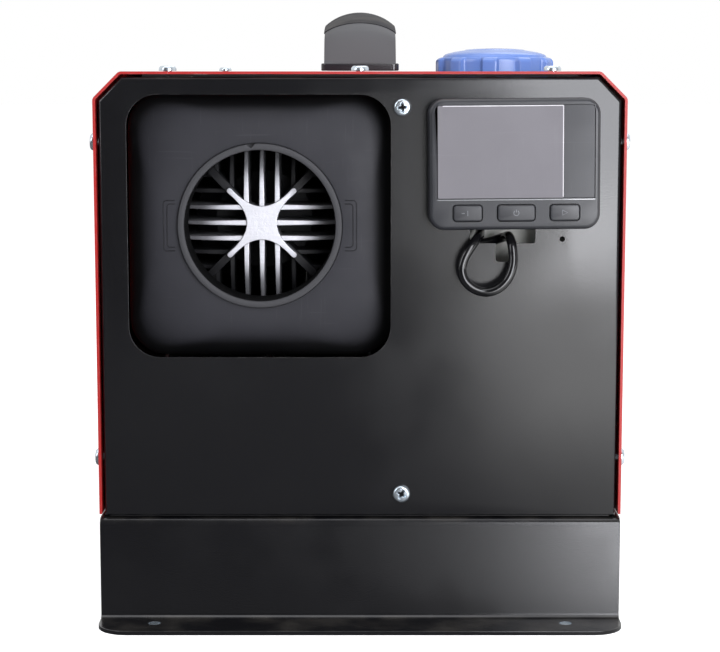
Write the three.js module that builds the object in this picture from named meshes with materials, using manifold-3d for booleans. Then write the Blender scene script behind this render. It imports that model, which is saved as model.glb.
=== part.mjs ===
// Diesel air heater in a portable case: a blower heater, its fuel tank, dosing pump and controls
// stand side by side in one bent sheet-metal housing on a low stand.
// Millimetres, +Z up. The front with the hot air outlet faces -Y. The origin is the centre of the
// footprint on the ground.
import * as THREE from 'three';
import { mergeVertices } from 'three/addons/utils/BufferGeometryUtils.js';
import Module from 'manifold-3d';

const wasm = await Module();
wasm.setup();

// ---- driving dimensions ----

// clearances
const SEAT_GAP = 0.3;
const SCREW_HOLE_PLAY = 0.4;
const PIPE_HOLE_PLAY = 2;

// case
const CASE_WIDTH = 240;
const CASE_DEPTH = 400;
const CASE_HEIGHT = 203;
const CASE_CHAMFER = 12;
const SHELL_SHEET = 1.2;
const SHELL_BEND = 1.5;
const SHELL_LIFT = 0.8;

// front and rear panels, bent back into shallow pans
const PANEL_SHEET = 1.5;
const PANEL_INSET = 2.5;
const PANEL_SETBACK = 0.3;
const PANEL_RETURN = 14;
const PANEL_BEND = 1.6;
const FLOOR_SHEET = 1.2;
const FLOOR_UPTURN = 18;

// stand
const STAND_HEIGHT = 49;
const STAND_SHEET = 2;
const STAND_BEND = 2;
const FLANGE_DEPTH = 23;
const FLANGE_CORNER = 14;
const FLANGE_HOLE = 6;
const FLANGE_HOLE_X = 94.3;
const FLANGE_HOLE_SETBACK = 13.4;
const PANEL_FOOT_GAP = 1;

// outlet recess and heater axis
const AXIS_X = -45.6;
const AXIS_Z = 183.2;
const CORE_SETBACK = 200;
const RECESS_SIZE = 119;
const RECESS_CORNER = 14;

// screws
const HEAD_RADIUS = 4;
const HEAD_HEIGHT = 2.2;
const HEAD_CROWN_RADIUS = 2.6;
const SCREW_SIDES = 8;
const SHANK_RADIUS = 2;
const SHANK_LENGTH = 7;
const CASE_SCREW_SETBACK = 10;
const TOP_SCREW_X = [-87, 0, 87];
const SIDE_SCREW_Z = [75.8, 221.3];
const PANEL_SCREW_X = 19;
const PANEL_SCREW_Z = [60.5, 237];

// partition between heater and tank
const PARTITION_SHEET = 1.2;
const PARTITION_X = 26;
const PARTITION_TAB_WIDTH = 10.4;
const PARTITION_TAB_EDGE = 5;

// heater core
const CORE_SIZE = 122;
const CORE_CORNER = 17;
const CORE_FRONT = -150;
const CORE_REAR = 70;
const JACKET_WALL = 2.5;
const HOOD_WALL = 2.2;
const HOOD_STEPS = 3;
const HOOD_FACE_DROP = 8.5;
const HOOD_EDGE_DROP = 20;
const COLLAR_OUTER = 75;
const COLLAR_WALL = 3;
const COLLAR_SETBACK = 6;
const COLLAR_LENGTH = 22;
const COLLAR_RIM = 3;
const COLLAR_RIM_THICKNESS = 2;
const COLLAR_NOTCH = 4;
const COLLAR_SIDES = 28;

// heat exchanger casting
const EXCHANGER_SETBACK = 26;
const EXCHANGER_REAR = 22;
const EXCHANGER_FIN_REAR = 8;
const EXCHANGER_FLANGE_RADIUS = 38;
const EXCHANGER_FLANGE = 6;
const EXCHANGER_GAP = 6.5;
const EXCHANGER_CORE_RADIUS = 33;
const EXCHANGER_CORE_SETBACK = 25;
const EXCHANGER_WALL = 4;
const EXCHANGER_CORE_BEVEL = 10;
const NOSE_CLEARANCE = 12.5;
const NOSE_LENGTH = 30;
const NOSE_STEPS = 2;
const FIN_PITCH = 7.2;
const FINS_PER_HALF = 3;
const LONG_FINS_PER_HALF = 1;
const SHORT_FIN_DROP = 8;
const FIN_THICKNESS = 2.3;
const ARM_SPAN = 15.4;
const ARM_TIP = 2.4;
const PLATEAU_WIDTH = 14;
const PLATEAU_HEIGHT = 15.6;
const PLATEAU_PROUD = 1.4;

const BURNER_RADIUS = 24;
const BURNER_WALL = 1.5;
const BURNER_LENGTH = 130;

// blower
const BLOWER_RADIUS = 44;
const BLOWER_WALL = 3.6;
const BLOWER_LENGTH = 26;
const BLOWER_EYE = 12;
const BLOWER_ARM = 8;
const FAN_CLEARANCE = 2;
const FAN_HUB_RADIUS = 24;
const FAN_HUB_WALL = 2.4;
const FAN_HUB_SIDES = 18;
const FAN_WIDTH = 24;
const FAN_BLADES = 9;
const FAN_BLADE_THICKNESS = 1.8;
const BLADE_PITCH = THREE.MathUtils.degToRad(38);
const BLADE_TWIST = THREE.MathUtils.degToRad(16);
const BLADE_ROOT_CHORD = 11;
const BLADE_TIP_CHORD = 9.6;
const BLADE_ROOT_DEPTH = 1.6;
const BLADE_CAMBER = 0.17;
const BLADE_STATIONS = 3;
const FAN_CENTRE_Y = 146;
const TURBINE_RADIUS = 35;
const TURBINE_WIDTH = 10;
const TURBINE_DISC = 2;
const TURBINE_BLADES = 7;
const VANE_ROOT = 16;
const VANE_OFFSET = 7.7;
const VANE_THICKNESS = 1.6;
const BOSS_WALL = 4;
const MOTOR_RADIUS = 22;
const MOTOR_LENGTH = 50;
const MOTOR_SHAFT_RADIUS = 3;
const MOTOR_NOSE_RADIUS = 10;
const MOTOR_NOSE_LENGTH = 4;
const COWL_SHOULDER = 120;
const COWL_NECK = 165;
const COWL_REAR = 186;
const COWL_NECK_INSET = 6.5;
const BOARD_WIDTH = 62;
const BOARD_LENGTH = 66;
const BOARD_THICKNESS = 1.6;
const BOARD_OVERLAP = 0.5;
const RELAY_SIZE = 16;
const RELAY_HEIGHT = 13;
const CAPACITOR_RADIUS = 6;
const CAPACITOR_HEIGHT = 15;
const SOCKET_PITCH = 20;
const SOCKET_WIDTH = 14;
const SOCKET_DEPTH = 12;
const SOCKET_HEIGHT = 9;
const PART_MARGIN = 8;
const SOCKET_MARGIN = 2;

// display
const DISPLAY_X = 68.6;
const DISPLAY_Z = 212.1;
const DISPLAY_WIDTH = 76.4;
const DISPLAY_HEIGHT = 58.2;
const DISPLAY_CORNER = 7;
const DISPLAY_BACK_THICKNESS = 5;
const DISPLAY_BEZEL_THICKNESS = 7.6;
const DISPLAY_BEVEL = 1.9;
const DISPLAY_TILT = THREE.MathUtils.degToRad(0.5);
const DISPLAY_WALL = 2.4;
const DISPLAY_BEVEL_DEPTH = 2.6;
const WINDOW_WIDTH = 69.6;
const WINDOW_HEIGHT = 41;
const WINDOW_RAISE = 5.6;
const WINDOW_SHIFT = 0.7;
const WINDOW_LEDGE = 1.5;
const WINDOW_THICKNESS = 1;
const FILM_WIDTH = 55.8;
const FILM_THICKNESS = 0.2;
const BUTTON_WIDTHS = [12.8, 16.6, 13];
const BUTTON_HEIGHT = 7.1;
const BUTTON_DROP = 21.5;
const BUTTON_PITCH = 21.6;
const BUTTON_PLAY = 0.4;
const BUTTON_PROUD = 0.9;
const BUTTON_LENGTH = 6;
const BUTTON_CORNER = 1.5;
const BUTTON_EDGE = 0.6;
const BUTTON_BRIM = 0.6;
const BUTTON_BRIM_THICKNESS = 1;

// slots in the panel below the display
const SLOT_X = 64.5;
const SLOT_BOTTOM_Z = 167.5;
const SLOT_STEM_WIDTH = 6;
const SLOT_STEP_Z = 175.9;
const SLOT_WIDE_WIDTH = 29.5;
const SLOT_TOP_Z = 200;
const SLOT_CORNER = 1;
const PILOT_HOLE_X = 91.5;
const PILOT_HOLE_Z = 177.8;
const PILOT_HOLE_RADIUS = 1.2;

// display lead: a loose round cord that leaves the back of the display, hangs in one loop and
// returns through the slot
const LEAD_RADIUS = 2.1;
const LEAD_SIDES = 8;
const LEAD_STEPS = 38;
const LEAD_ROUTE = [
  [55.0, -199.7, 196.2],
  [55.0, -197.6, 196.2],
  [55.0, -193.4, 195.1],
  [55.0, -190.3, 192.0],
  [55.0, -189.2, 187.8],
  [54.8, -190.3, 183.6],
  [54.6, -193.4, 180.5],
  [54.3, -197.6, 179.4],
  [53.8, -199.6, 179.4],
  [52.6, -203.8, 178.3],
  [50.2, -206.9, 175.2],
  [47.4, -208.2, 171.0],
  [45.7, -208.8, 165.4],
  [47.0, -209.2, 160.0],
  [50.9, -209.4, 156.3],
  [56.6, -209.4, 154.7],
  [62.4, -209.2, 156.5],
  [66.6, -208.6, 161.0],
  [68.6, -207.6, 166.6],
  [68.8, -206.5, 171.0],
  [68.4, -205.3, 175.2],
  [67.7, -202.2, 178.3],
  [67.0, -198.1, 179.2],
  [65.9, -193.9, 178.4],
  [62.8, -190.8, 177.0],
  [58.6, -189.6, 175.6],
  [50.0, -189.4, 174.6],
  [42.0, -189.4, 174.4],
  [34.0, -189.4, 174.4],
  [27.8, -189.4, 174.4],
];

// fuel tank, its neck and cap
const TANK_RIGHT_GAP = 4;
const TANK_LEFT_GAP = 3;
const TANK_WALL = 3;
const TANK_CORNER = 9;
const TANK_FRONT_GAP = 16;
const TANK_REAR_GAP = 42;
const TANK_TOP_GAP = 16;
const NECK_X = 69.5;
const NECK_Y = -63;
const NECK_OUTER = 48;
const NECK_WALL = 3;
const NECK_RISE = 2;
const CAP_RADIUS = 28;
const CAP_LOBES = 10;
const CAP_LOBE_PROUD = 2.5;
const CAP_LOBE_SHARE = 0.52;
const CAP_RISE = 11.8;
const CAP_SHOULDER_RISE = 7.2;
const CAP_SKIRT_DEPTH = 8;
const CAP_WALL = 2.4;
const CAP_HOLE_PLAY = 1.6;
const SEAL_THICKNESS = 2;
const CAP_CROWN_RADIUS = 24.6;
const CAP_CROWN_STEP = 1;
const CAP_TOP_RADIUS = 15.4;

// carrying handle
const HANDLE_SPAN = 190;
const HANDLE_FOOT_LENGTH = 26;
const HANDLE_FOOT_WIDTH = 39;
const HANDLE_FOOT_HEIGHT = 4;
const HANDLE_GRIP_WIDTH = 36;
const HANDLE_EDGE_RISE = 25.8;
const HANDLE_CROWN = 6;
const HANDLE_THICKNESS = 6;
const HANDLE_STATIONS = 11;
const HANDLE_COLUMNS = 6;
const HANDLE_PAD_CORNER = 3;
const HANDLE_HOLLOW = 2;
const HANDLE_UNDERSIDE = 0.9;
const HANDLE_RISERS = [[7, 0.38], [12, 0.65], [20, 0.77], [43, 0.9], [68, 0.975]];

// heater support and pipes
const SHELF_SHEET = 2;
const SHELF_LENGTH = 190;
const SHELF_FOOT = 12;
const SHELF_INSET = 11;
const GASKET_CORNER = 8;
const GASKET_THICKNESS = 1.6;
const EXHAUST_RADIUS = 12;
const INTAKE_RADIUS = 12.5;
const PIPE_WALL = 1.2;
const EXHAUST_Y = -28;
const INTAKE_Y = 36;
const PIPE_END_Z = 18;

// fuel line
const PUMP_RADIUS = 14;
const PUMP_LENGTH = 92;
const PUMP_INSET = 29.6;
const PUMP_SETBACK = 90;
const PUMP_Z = 82;
const PUMP_END_LENGTH = 14;
const PUMP_END_RADIUS = 7.7;
const PUMP_SHOULDER = 2;
const CLAMP_WIDTH = 16;
const CLAMP_THICKNESS = 2.6;
const HOSE_RADIUS = 2.8;
const HOSE_SIDES = 8;
const HOSE_STEP = 7;
const NIPPLE_RADIUS = 2.4;
const NIPPLE_LENGTH = 8;
const NIPPLE_X = 50;
const NIPPLE_Z = 66;
const FILTER_RADIUS = 9;
const FILTER_LENGTH = 34;
const FILTER_X = -7;
const FILTER_SETBACK = 18;
const FILTER_Z = 74;
const FUEL_INLET_X = -62;
const FUEL_INLET_Y = 12;
const GLAND_X = 80;
const GLAND_Z = 78;
const GLAND_RADIUS = 9;
const GLAND_BORE_RADIUS = 3.8;
const GLAND_NUT_RADIUS = 12;
const GLAND_NUT_LENGTH = 6.3;
const GLAND_DOME_RADIUS = 8;
const GLAND_LENGTH = 12.6;

// rear air inlet
const INLET_RADIUS = 44;
const INLET_SLOT = 6;
const INLET_PITCH = 12;
const LEVEL_SLOT_WIDTH = 9;
const LEVEL_SLOT_LENGTH = 120;
const LEVEL_SLOT_Y = 20;

// ---- levels and planes that follow from them ----

const FRONT_Y = -CASE_DEPTH / 2;
const REAR_Y = CASE_DEPTH / 2;
const CORE_Y = FRONT_Y + CORE_SETBACK;
const CASE_FRONT = -CORE_SETBACK;
const PANEL_BOTTOM_Z = STAND_HEIGHT + PANEL_FOOT_GAP;
const CASE_TOP_Z = PANEL_BOTTOM_Z + CASE_HEIGHT;
const PANEL_FACE_Y = FRONT_Y + PANEL_SETBACK;
const PANEL_INNER_X = CASE_WIDTH / 2 - PANEL_INSET - PANEL_SHEET;
const FLOOR_Z = STAND_HEIGHT + SEAT_GAP;
const FLOOR_TOP_Z = FLOOR_Z + FLOOR_SHEET;
const CORE_BOTTOM_Z = AXIS_Z - CORE_SIZE / 2;
const SHELF_TOP_Z = CORE_BOTTOM_Z - GASKET_THICKNESS - 2 * SEAT_GAP;
const PORT_END = CORE_SIZE / 2 + GASKET_THICKNESS;
const EXCHANGER_NOSE_Y = CASE_FRONT + EXCHANGER_SETBACK;
const EXCHANGER_RADIUS = CORE_SIZE / 2 - JACKET_WALL - EXCHANGER_GAP;
const NOSE_RADIUS = COLLAR_OUTER / 2 - COLLAR_WALL - NOSE_CLEARANCE;
const COLLAR_FRONT_Y = CASE_FRONT + COLLAR_SETBACK;
const COWL_NECK_RADIUS = CORE_SIZE / 2 - COWL_NECK_INSET;
const FAN_RADIUS = COWL_NECK_RADIUS - JACKET_WALL - FAN_CLEARANCE;
const PUMP_X = AXIS_X - CORE_SIZE / 2 + PUMP_INSET;
const PUMP_Y = REAR_Y - PUMP_SETBACK;
const FILTER_Y = REAR_Y - FILTER_SETBACK;
const TANK_LEFT_X = PARTITION_X + PARTITION_SHEET + TANK_LEFT_GAP;
const TANK_RIGHT_X = CASE_WIDTH / 2 - SHELL_SHEET - TANK_RIGHT_GAP;
const TANK_BOTTOM_Z = FLOOR_TOP_Z + SEAT_GAP;
const TANK_TOP_Z = CASE_TOP_Z - TANK_TOP_GAP;
const NECK_TOP_Z = CASE_TOP_Z + NECK_RISE;

// ---- finishes ----

const RED_PAINT = { color: 0xc83c37, roughness: 0.45, metalness: 0.1 };
const BLACK_PAINT = { color: 0x242426, roughness: 0.5, metalness: 0.1 };
const ZINC = { color: 0xc9ccd3, roughness: 0.35, metalness: 0.9 };
const GALVANISED = { color: 0xa9acb0, roughness: 0.5, metalness: 0.8 };
const CAST_ALUMINIUM = { color: 0xb9bbbd, roughness: 0.5, metalness: 0.85 };
const STEEL = { color: 0x9a9c9f, roughness: 0.35, metalness: 0.9 };
const BLACK_PLASTIC = { color: 0x2c2d31, roughness: 0.55, metalness: 0 };
const GREY_PLASTIC = { color: 0x47474b, roughness: 0.6, metalness: 0 };
const GLOSS_PLASTIC = { color: 0x3a3c40, roughness: 0.2, metalness: 0 };
const BLUE_PLASTIC = { color: 0x5f7fc4, roughness: 0.4, metalness: 0 };
const MILKY_PLASTIC = { color: 0xd8d8d2, roughness: 0.55, metalness: 0 };
const RUBBER = { color: 0x1d1d1f, roughness: 0.7, metalness: 0 };
const FILM = { color: 0x9c9a97, roughness: 0.25, metalness: 0 };
const CIRCUIT_GREEN = { color: 0x2f6b45, roughness: 0.5, metalness: 0.1 };

// ---- building blocks ----

const ALONG_X = new THREE.Matrix4().makeBasis(
  new THREE.Vector3(0, 1, 0),
  new THREE.Vector3(0, 0, 1),
  new THREE.Vector3(1, 0, 0),
);
const UPRIGHT = new THREE.Matrix4().makeBasis(
  new THREE.Vector3(1, 0, 0),
  new THREE.Vector3(0, 0, 1),
  new THREE.Vector3(0, -1, 0),
);

/** Merges a geometry's vertices and drops the triangles that this makes empty. */
function weld(geometry) {
  const bare = geometry.clone();
  bare.deleteAttribute('normal');
  bare.deleteAttribute('uv');
  const merged = mergeVertices(bare, 1e-4);
  const corners = merged.index.array;
  const kept = [];
  for (let i = 0; i < corners.length; i += 3) {
    const [a, b, c] = [corners[i], corners[i + 1], corners[i + 2]];
    if (a !== b && b !== c && c !== a) kept.push(a, b, c);
  }
  merged.setIndex(kept);
  return merged;
}

/** Turns the faces of a closed geometry outward. */
function outward(geometry) {
  const closed = weld(geometry);
  const at = closed.attributes.position;
  const corners = closed.index.array;
  const [a, b, c] = [new THREE.Vector3(), new THREE.Vector3(), new THREE.Vector3()];
  let volume = 0;
  for (let i = 0; i < corners.length; i += 3) {
    a.fromBufferAttribute(at, corners[i]);
    b.fromBufferAttribute(at, corners[i + 1]);
    c.fromBufferAttribute(at, corners[i + 2]);
    volume += a.dot(b.cross(c));
  }
  if (volume < 0) closed.setIndex(Array.from(corners).reverse());
  return closed;
}

function toSolid(geometry) {
  const closed = weld(geometry);
  return new wasm.Manifold(new wasm.Mesh({
    numProp: 3,
    vertProperties: new Float32Array(closed.attributes.position.array),
    triVerts: new Uint32Array(closed.index.array),
  }));
}

function toGeometry(solid) {
  const mesh = solid.getMesh();
  const geometry = new THREE.BufferGeometry();
  geometry.setAttribute('position', new THREE.BufferAttribute(mesh.vertProperties, 3));
  geometry.setIndex(new THREE.BufferAttribute(mesh.triVerts, 1));
  return geometry;
}

function join(...geometries) {
  const [first, ...rest] = geometries.flat().map(toSolid);
  return toGeometry(rest.reduce((whole, next) => whole.add(next), first));
}

function cut(body, ...tools) {
  const solids = tools.flat().map(toSolid);
  return toGeometry(solids.reduce((whole, next) => whole.subtract(next), toSolid(body)));
}

function common(first, second) {
  return toGeometry(toSolid(first).intersect(toSolid(second)));
}

function block(x0, x1, y0, y1, z0, z1) {
  const box = new THREE.BoxGeometry(x1 - x0, y1 - y0, z1 - z0);
  return box.translate((x0 + x1) / 2, (y0 + y1) / 2, (z0 + z1) / 2);
}

/** A rod parallel to Y through (x, z). */
function rodY(radius, y0, y1, x = 0, z = 0, sides = 16) {
  const rod = new THREE.CylinderGeometry(radius, radius, y1 - y0, sides);
  return rod.translate(x, (y0 + y1) / 2, z);
}

/** A rod parallel to Z through (x, y). */
function rodZ(radius, z0, z1, x = 0, y = 0, sides = 16) {
  const rod = new THREE.CylinderGeometry(radius, radius, z1 - z0, sides);
  return rod.rotateX(Math.PI / 2).translate(x, y, (z0 + z1) / 2);
}

/** A rod parallel to X through (y, z). */
function rodX(radius, x0, x1, y = 0, z = 0, sides = 16) {
  const rod = new THREE.CylinderGeometry(radius, radius, x1 - x0, sides);
  return rod.rotateZ(Math.PI / 2).translate((x0 + x1) / 2, y, z);
}

/** Pushes an outline drawn in (y, z) along X. */
function prismX(outline, x0, x1, options = {}) {
  const settings = { depth: x1 - x0, bevelEnabled: false, curveSegments: 1, ...options };
  return new THREE.ExtrudeGeometry(outline, settings).applyMatrix4(ALONG_X).translate(x0, 0, 0);
}

/** Pushes an outline drawn in (x, z) along Y. */
function prismY(outline, y0, y1, options = {}) {
  const settings = { depth: y1 - y0, bevelEnabled: false, curveSegments: 1, ...options };
  return new THREE.ExtrudeGeometry(outline, settings).applyMatrix4(UPRIGHT).translate(0, y1, 0);
}

/** Pushes an outline drawn in (x, y) along Z. */
function prismZ(outline, z0, z1, options = {}) {
  const settings = { depth: z1 - z0, bevelEnabled: false, curveSegments: 1, ...options };
  return new THREE.ExtrudeGeometry(outline, settings).translate(0, 0, z0);
}

function polygon(points) {
  return new THREE.Shape(points.map(([u, v]) => new THREE.Vector2(u, v)));
}

/** A rectangle with round corners about (u, v). */
function roundedRectangle(u, v, width, height, corner) {
  const radius = Math.min(corner, width / 2 - 0.01, height / 2 - 0.01);
  const [left, right] = [u - width / 2, u + width / 2];
  const [bottom, top] = [v - height / 2, v + height / 2];
  const outline = new THREE.Shape();
  outline.moveTo(left + radius, bottom);
  outline.lineTo(right - radius, bottom);
  outline.absarc(right - radius, bottom + radius, radius, -Math.PI / 2, 0);
  outline.lineTo(right, top - radius);
  outline.absarc(right - radius, top - radius, radius, 0, Math.PI / 2);
  outline.lineTo(left + radius, top);
  outline.absarc(left + radius, top - radius, radius, Math.PI / 2, Math.PI);
  outline.lineTo(left, bottom + radius);
  outline.absarc(left + radius, bottom + radius, radius, Math.PI, 1.5 * Math.PI);
  return outline;
}

/** The cross-section of a bent sheet: a path along the middle of the sheet with round bends. */
function sheetProfile(path, thickness, innerRadius, steps = 3) {
  const radius = innerRadius + thickness / 2;
  const corners = path.map(([u, v]) => new THREE.Vector2(u, v));
  const left = [];
  const right = [];
  const mark = (point, heading) => {
    const half = thickness / 2;
    const across = new THREE.Vector2(-Math.sin(heading), Math.cos(heading)).multiplyScalar(half);
    left.push(point.clone().add(across));
    right.unshift(point.clone().sub(across));
  };
  const headings = corners.slice(1).map((corner, i) => corner.clone().sub(corners[i]).angle());
  mark(corners[0], headings[0]);
  for (let i = 1; i < corners.length - 1; i += 1) {
    const change = headings[i] - headings[i - 1];
    const turn = Math.atan2(Math.sin(change), Math.cos(change));
    const side = Math.sign(turn);
    const reach = radius * Math.tan(Math.abs(turn) / 2);
    const into = new THREE.Vector2(Math.cos(headings[i - 1]), Math.sin(headings[i - 1]));
    const start = corners[i].clone().addScaledVector(into, -reach);
    const centre = start.clone().addScaledVector(new THREE.Vector2(-into.y, into.x), side * radius);
    for (let step = 0; step <= steps; step += 1) {
      const heading = headings[i - 1] + (turn * step) / steps;
      const out = new THREE.Vector2(Math.sin(heading), -Math.cos(heading)).multiplyScalar(side * radius);
      mark(centre.clone().add(out), heading);
    }
  }
  mark(corners.at(-1), headings.at(-1));
  return new THREE.Shape([...left, ...right]);
}

/** Turns a profile of (radius, height) points about the Y axis. */
function revolve(profile, sides = 48) {
  const points = profile.map(([radius, height]) => new THREE.Vector2(radius, height));
  return outward(new THREE.LatheGeometry(points, sides));
}

/** Turns a profile of (radius, height) points about the Z axis. */
function revolveUpright(profile, sides = 48) {
  return revolve(profile, sides).rotateX(Math.PI / 2);
}

/** A round tube wall about the Y axis between two heights. */
function sleeve(outer, inner, y0, y1, sides = 16) {
  return revolve([[inner, y0], [outer, y0], [outer, y1], [inner, y1], [inner, y0]], sides);
}

/** Skins a row of rings that each have as many points; a looped row closes on itself. */
function loft(rings, looped = false) {
  const count = rings[0].length;
  const positions = rings.flat().flatMap((point) => [point.x, point.y, point.z]);
  const corners = [];
  const spans = looped ? rings.length : rings.length - 1;
  for (let row = 0; row < spans; row += 1) {
    const next = (row + 1) % rings.length;
    for (let i = 0; i < count; i += 1) {
      const j = (i + 1) % count;
      const [a, b] = [row * count + i, row * count + j];
      const [c, d] = [next * count + j, next * count + i];
      corners.push(a, b, c, a, c, d);
    }
  }
  if (!looped) {
    for (let i = 1; i < count - 1; i += 1) {
      corners.push(0, i + 1, i);
      const last = (rings.length - 1) * count;
      corners.push(last, last + i, last + i + 1);
    }
  }
  const geometry = new THREE.BufferGeometry();
  geometry.setAttribute('position', new THREE.Float32BufferAttribute(positions, 3));
  geometry.setIndex(corners);
  return outward(geometry);
}

/** Points spaced evenly round a circle, as [u, v] pairs. */
function circlePoints(radius, sides) {
  return Array.from({ length: sides }, (_, i) => {
    const angle = (2 * Math.PI * i) / sides;
    return [radius * Math.cos(angle), radius * Math.sin(angle)];
  });
}

/** A round cord or hose along a smooth route. */
function tube(route, radius, sides, steps) {
  const extrudePath = new THREE.CatmullRomCurve3(route.map((point) => new THREE.Vector3(...point)));
  const section = polygon(circlePoints(radius, sides));
  return new THREE.ExtrudeGeometry(section, { steps, extrudePath, bevelEnabled: false });
}

/** Adds a named mesh with its own material to a group. */
function piece(name, geometry, finish, parent) {
  const mesh = new THREE.Mesh(geometry, new THREE.MeshStandardMaterial(finish));
  mesh.name = name;
  parent.add(mesh);
  return mesh;
}

const signs = [-1, 1];

// ---- case ----

const heater = new THREE.Group();
const screwHole = SHANK_RADIUS + SCREW_HOLE_PLAY;
const screwRowsY = signs.map((side) => side * (REAR_Y - CASE_SCREW_SETBACK));

/** The corners of the case's front outline, drawn in by an inset, with its two chamfers. */
function caseCorners(inset, bottom) {
  const half = CASE_WIDTH / 2 - inset;
  const top = CASE_TOP_Z - inset;
  const mitre = CASE_CHAMFER + inset * Math.tan(Math.PI / 8);
  const run = CASE_WIDTH / 2 - mitre;
  const shoulder = CASE_TOP_Z - mitre;
  return [[-half, bottom], [-half, shoulder], [-run, top], [run, top], [half, shoulder], [half, bottom]];
}

/** Rods where the top and side screws pass, as long as the screws reach. */
function caseScrewBores() {
  const reach = SHANK_LENGTH + HEAD_HEIGHT;
  const tops = screwRowsY.flatMap((y) => TOP_SCREW_X.map(
    (x) => rodZ(screwHole, CASE_TOP_Z - reach, CASE_TOP_Z + reach, x, y, 6),
  ));
  const sides = screwRowsY.flatMap((y) => SIDE_SCREW_Z.flatMap((z) => signs.map((side) => {
    const face = (side * CASE_WIDTH) / 2;
    return rodX(screwHole, face - reach, face + reach, y, z, 6);
  })));
  return [...tops, ...sides];
}

function outerShell() {
  const path = caseCorners(SHELL_SHEET / 2, PANEL_BOTTOM_Z + SHELL_LIFT);
  const sheet = prismY(sheetProfile(path, SHELL_SHEET, SHELL_BEND), FRONT_Y, REAR_Y);
  const capHole = CAP_RADIUS + CAP_LOBE_PROUD + CAP_HOLE_PLAY;
  const middleZ = (TANK_BOTTOM_Z + TANK_TOP_Z) / 2;
  const levelSlot = roundedRectangle(
    LEVEL_SLOT_Y, middleZ, LEVEL_SLOT_WIDTH, LEVEL_SLOT_LENGTH, LEVEL_SLOT_WIDTH / 2,
  );
  return cut(
    sheet,
    rodZ(capHole, TANK_TOP_Z, CASE_TOP_Z + 1, NECK_X, NECK_Y, 32),
    prismX(levelSlot, TANK_RIGHT_X, CASE_WIDTH / 2 + 1),
    caseScrewBores(),
  );
}

/** A sheet panel facing -Y with its sides and top bent back behind a round front edge. */
function bentPan() {
  const backY = PANEL_FACE_Y + PANEL_RETURN;
  const innerInset = PANEL_INSET + PANEL_SHEET;
  const blank = prismY(polygon(caseCorners(PANEL_INSET, PANEL_BOTTOM_Z)), PANEL_FACE_Y + PANEL_BEND, backY, {
    bevelEnabled: true,
    bevelSize: PANEL_BEND,
    bevelThickness: PANEL_BEND,
    bevelOffset: -PANEL_BEND,
    bevelSegments: 3,
  });
  const inside = prismY(
    polygon(caseCorners(innerInset, 0)), PANEL_FACE_Y + PANEL_SHEET, backY + PANEL_RETURN,
  );
  const behind = block(-CASE_WIDTH, CASE_WIDTH, backY, backY + PANEL_RETURN, 0, CASE_TOP_Z);
  const overFloor = block(
    -CASE_WIDTH, CASE_WIDTH, PANEL_FACE_Y + PANEL_SHEET, backY + PANEL_RETURN, 0, FLOOR_TOP_Z + SEAT_GAP,
  );
  const screws = PANEL_SCREW_Z.map(
    (z) => rodY(screwHole, PANEL_FACE_Y - 1, PANEL_FACE_Y + PANEL_SHEET + 1, PANEL_SCREW_X, z, 6),
  );
  return cut(blank, inside, behind, overFloor, caseScrewBores(), screws);
}

function frontPanel() {
  const [near, far] = [PANEL_FACE_Y - 1, PANEL_FACE_Y + PANEL_SHEET + 1];
  const recess = roundedRectangle(AXIS_X, AXIS_Z, RECESS_SIZE, RECESS_SIZE, RECESS_CORNER);
  const stem = roundedRectangle(
    SLOT_X, (SLOT_BOTTOM_Z + SLOT_TOP_Z) / 2, SLOT_STEM_WIDTH, SLOT_TOP_Z - SLOT_BOTTOM_Z, SLOT_CORNER,
  );
  const wide = roundedRectangle(
    SLOT_X, (SLOT_STEP_Z + SLOT_TOP_Z) / 2, SLOT_WIDE_WIDTH, SLOT_TOP_Z - SLOT_STEP_Z, SLOT_CORNER,
  );
  return cut(
    bentPan(),
    prismY(recess, near, far, { curveSegments: 5 }),
    prismY(stem, near, far),
    prismY(wide, near, far),
    rodY(PILOT_HOLE_RADIUS, near, far, PILOT_HOLE_X, PILOT_HOLE_Z, 12),
  );
}

/** The slots of the round air inlet, shortened to fit its circle. */
function inletSlots(near, far) {
  const rows = Math.floor(INLET_RADIUS / INLET_PITCH);
  return Array.from({ length: 2 * rows + 1 }, (_, i) => {
    const height = (i - rows) * INLET_PITCH;
    const length = 2 * Math.sqrt(INLET_RADIUS ** 2 - height ** 2);
    const slot = roundedRectangle(AXIS_X, AXIS_Z + height, length, INLET_SLOT, INLET_SLOT / 2);
    return prismY(slot, near, far);
  });
}

function rearPanel() {
  const [near, far] = [-PANEL_FACE_Y - PANEL_SHEET - 1, -PANEL_FACE_Y + 1];
  const pan = bentPan().scale(-1, 1, 1).rotateZ(Math.PI);
  return cut(
    outward(pan),
    inletSlots(near, far),
    rodY(GLAND_RADIUS, near, far, GLAND_X, GLAND_Z, 24),
  );
}

/** Rods round the exhaust and air pipes, with their play, from one level to another. */
function pipeBores(bottom, top) {
  return [
    rodZ(EXHAUST_RADIUS + PIPE_HOLE_PLAY, bottom, top, AXIS_X, CORE_Y + EXHAUST_Y),
    rodZ(INTAKE_RADIUS + PIPE_HOLE_PLAY, bottom, top, AXIS_X, CORE_Y + INTAKE_Y),
  ];
}

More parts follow.
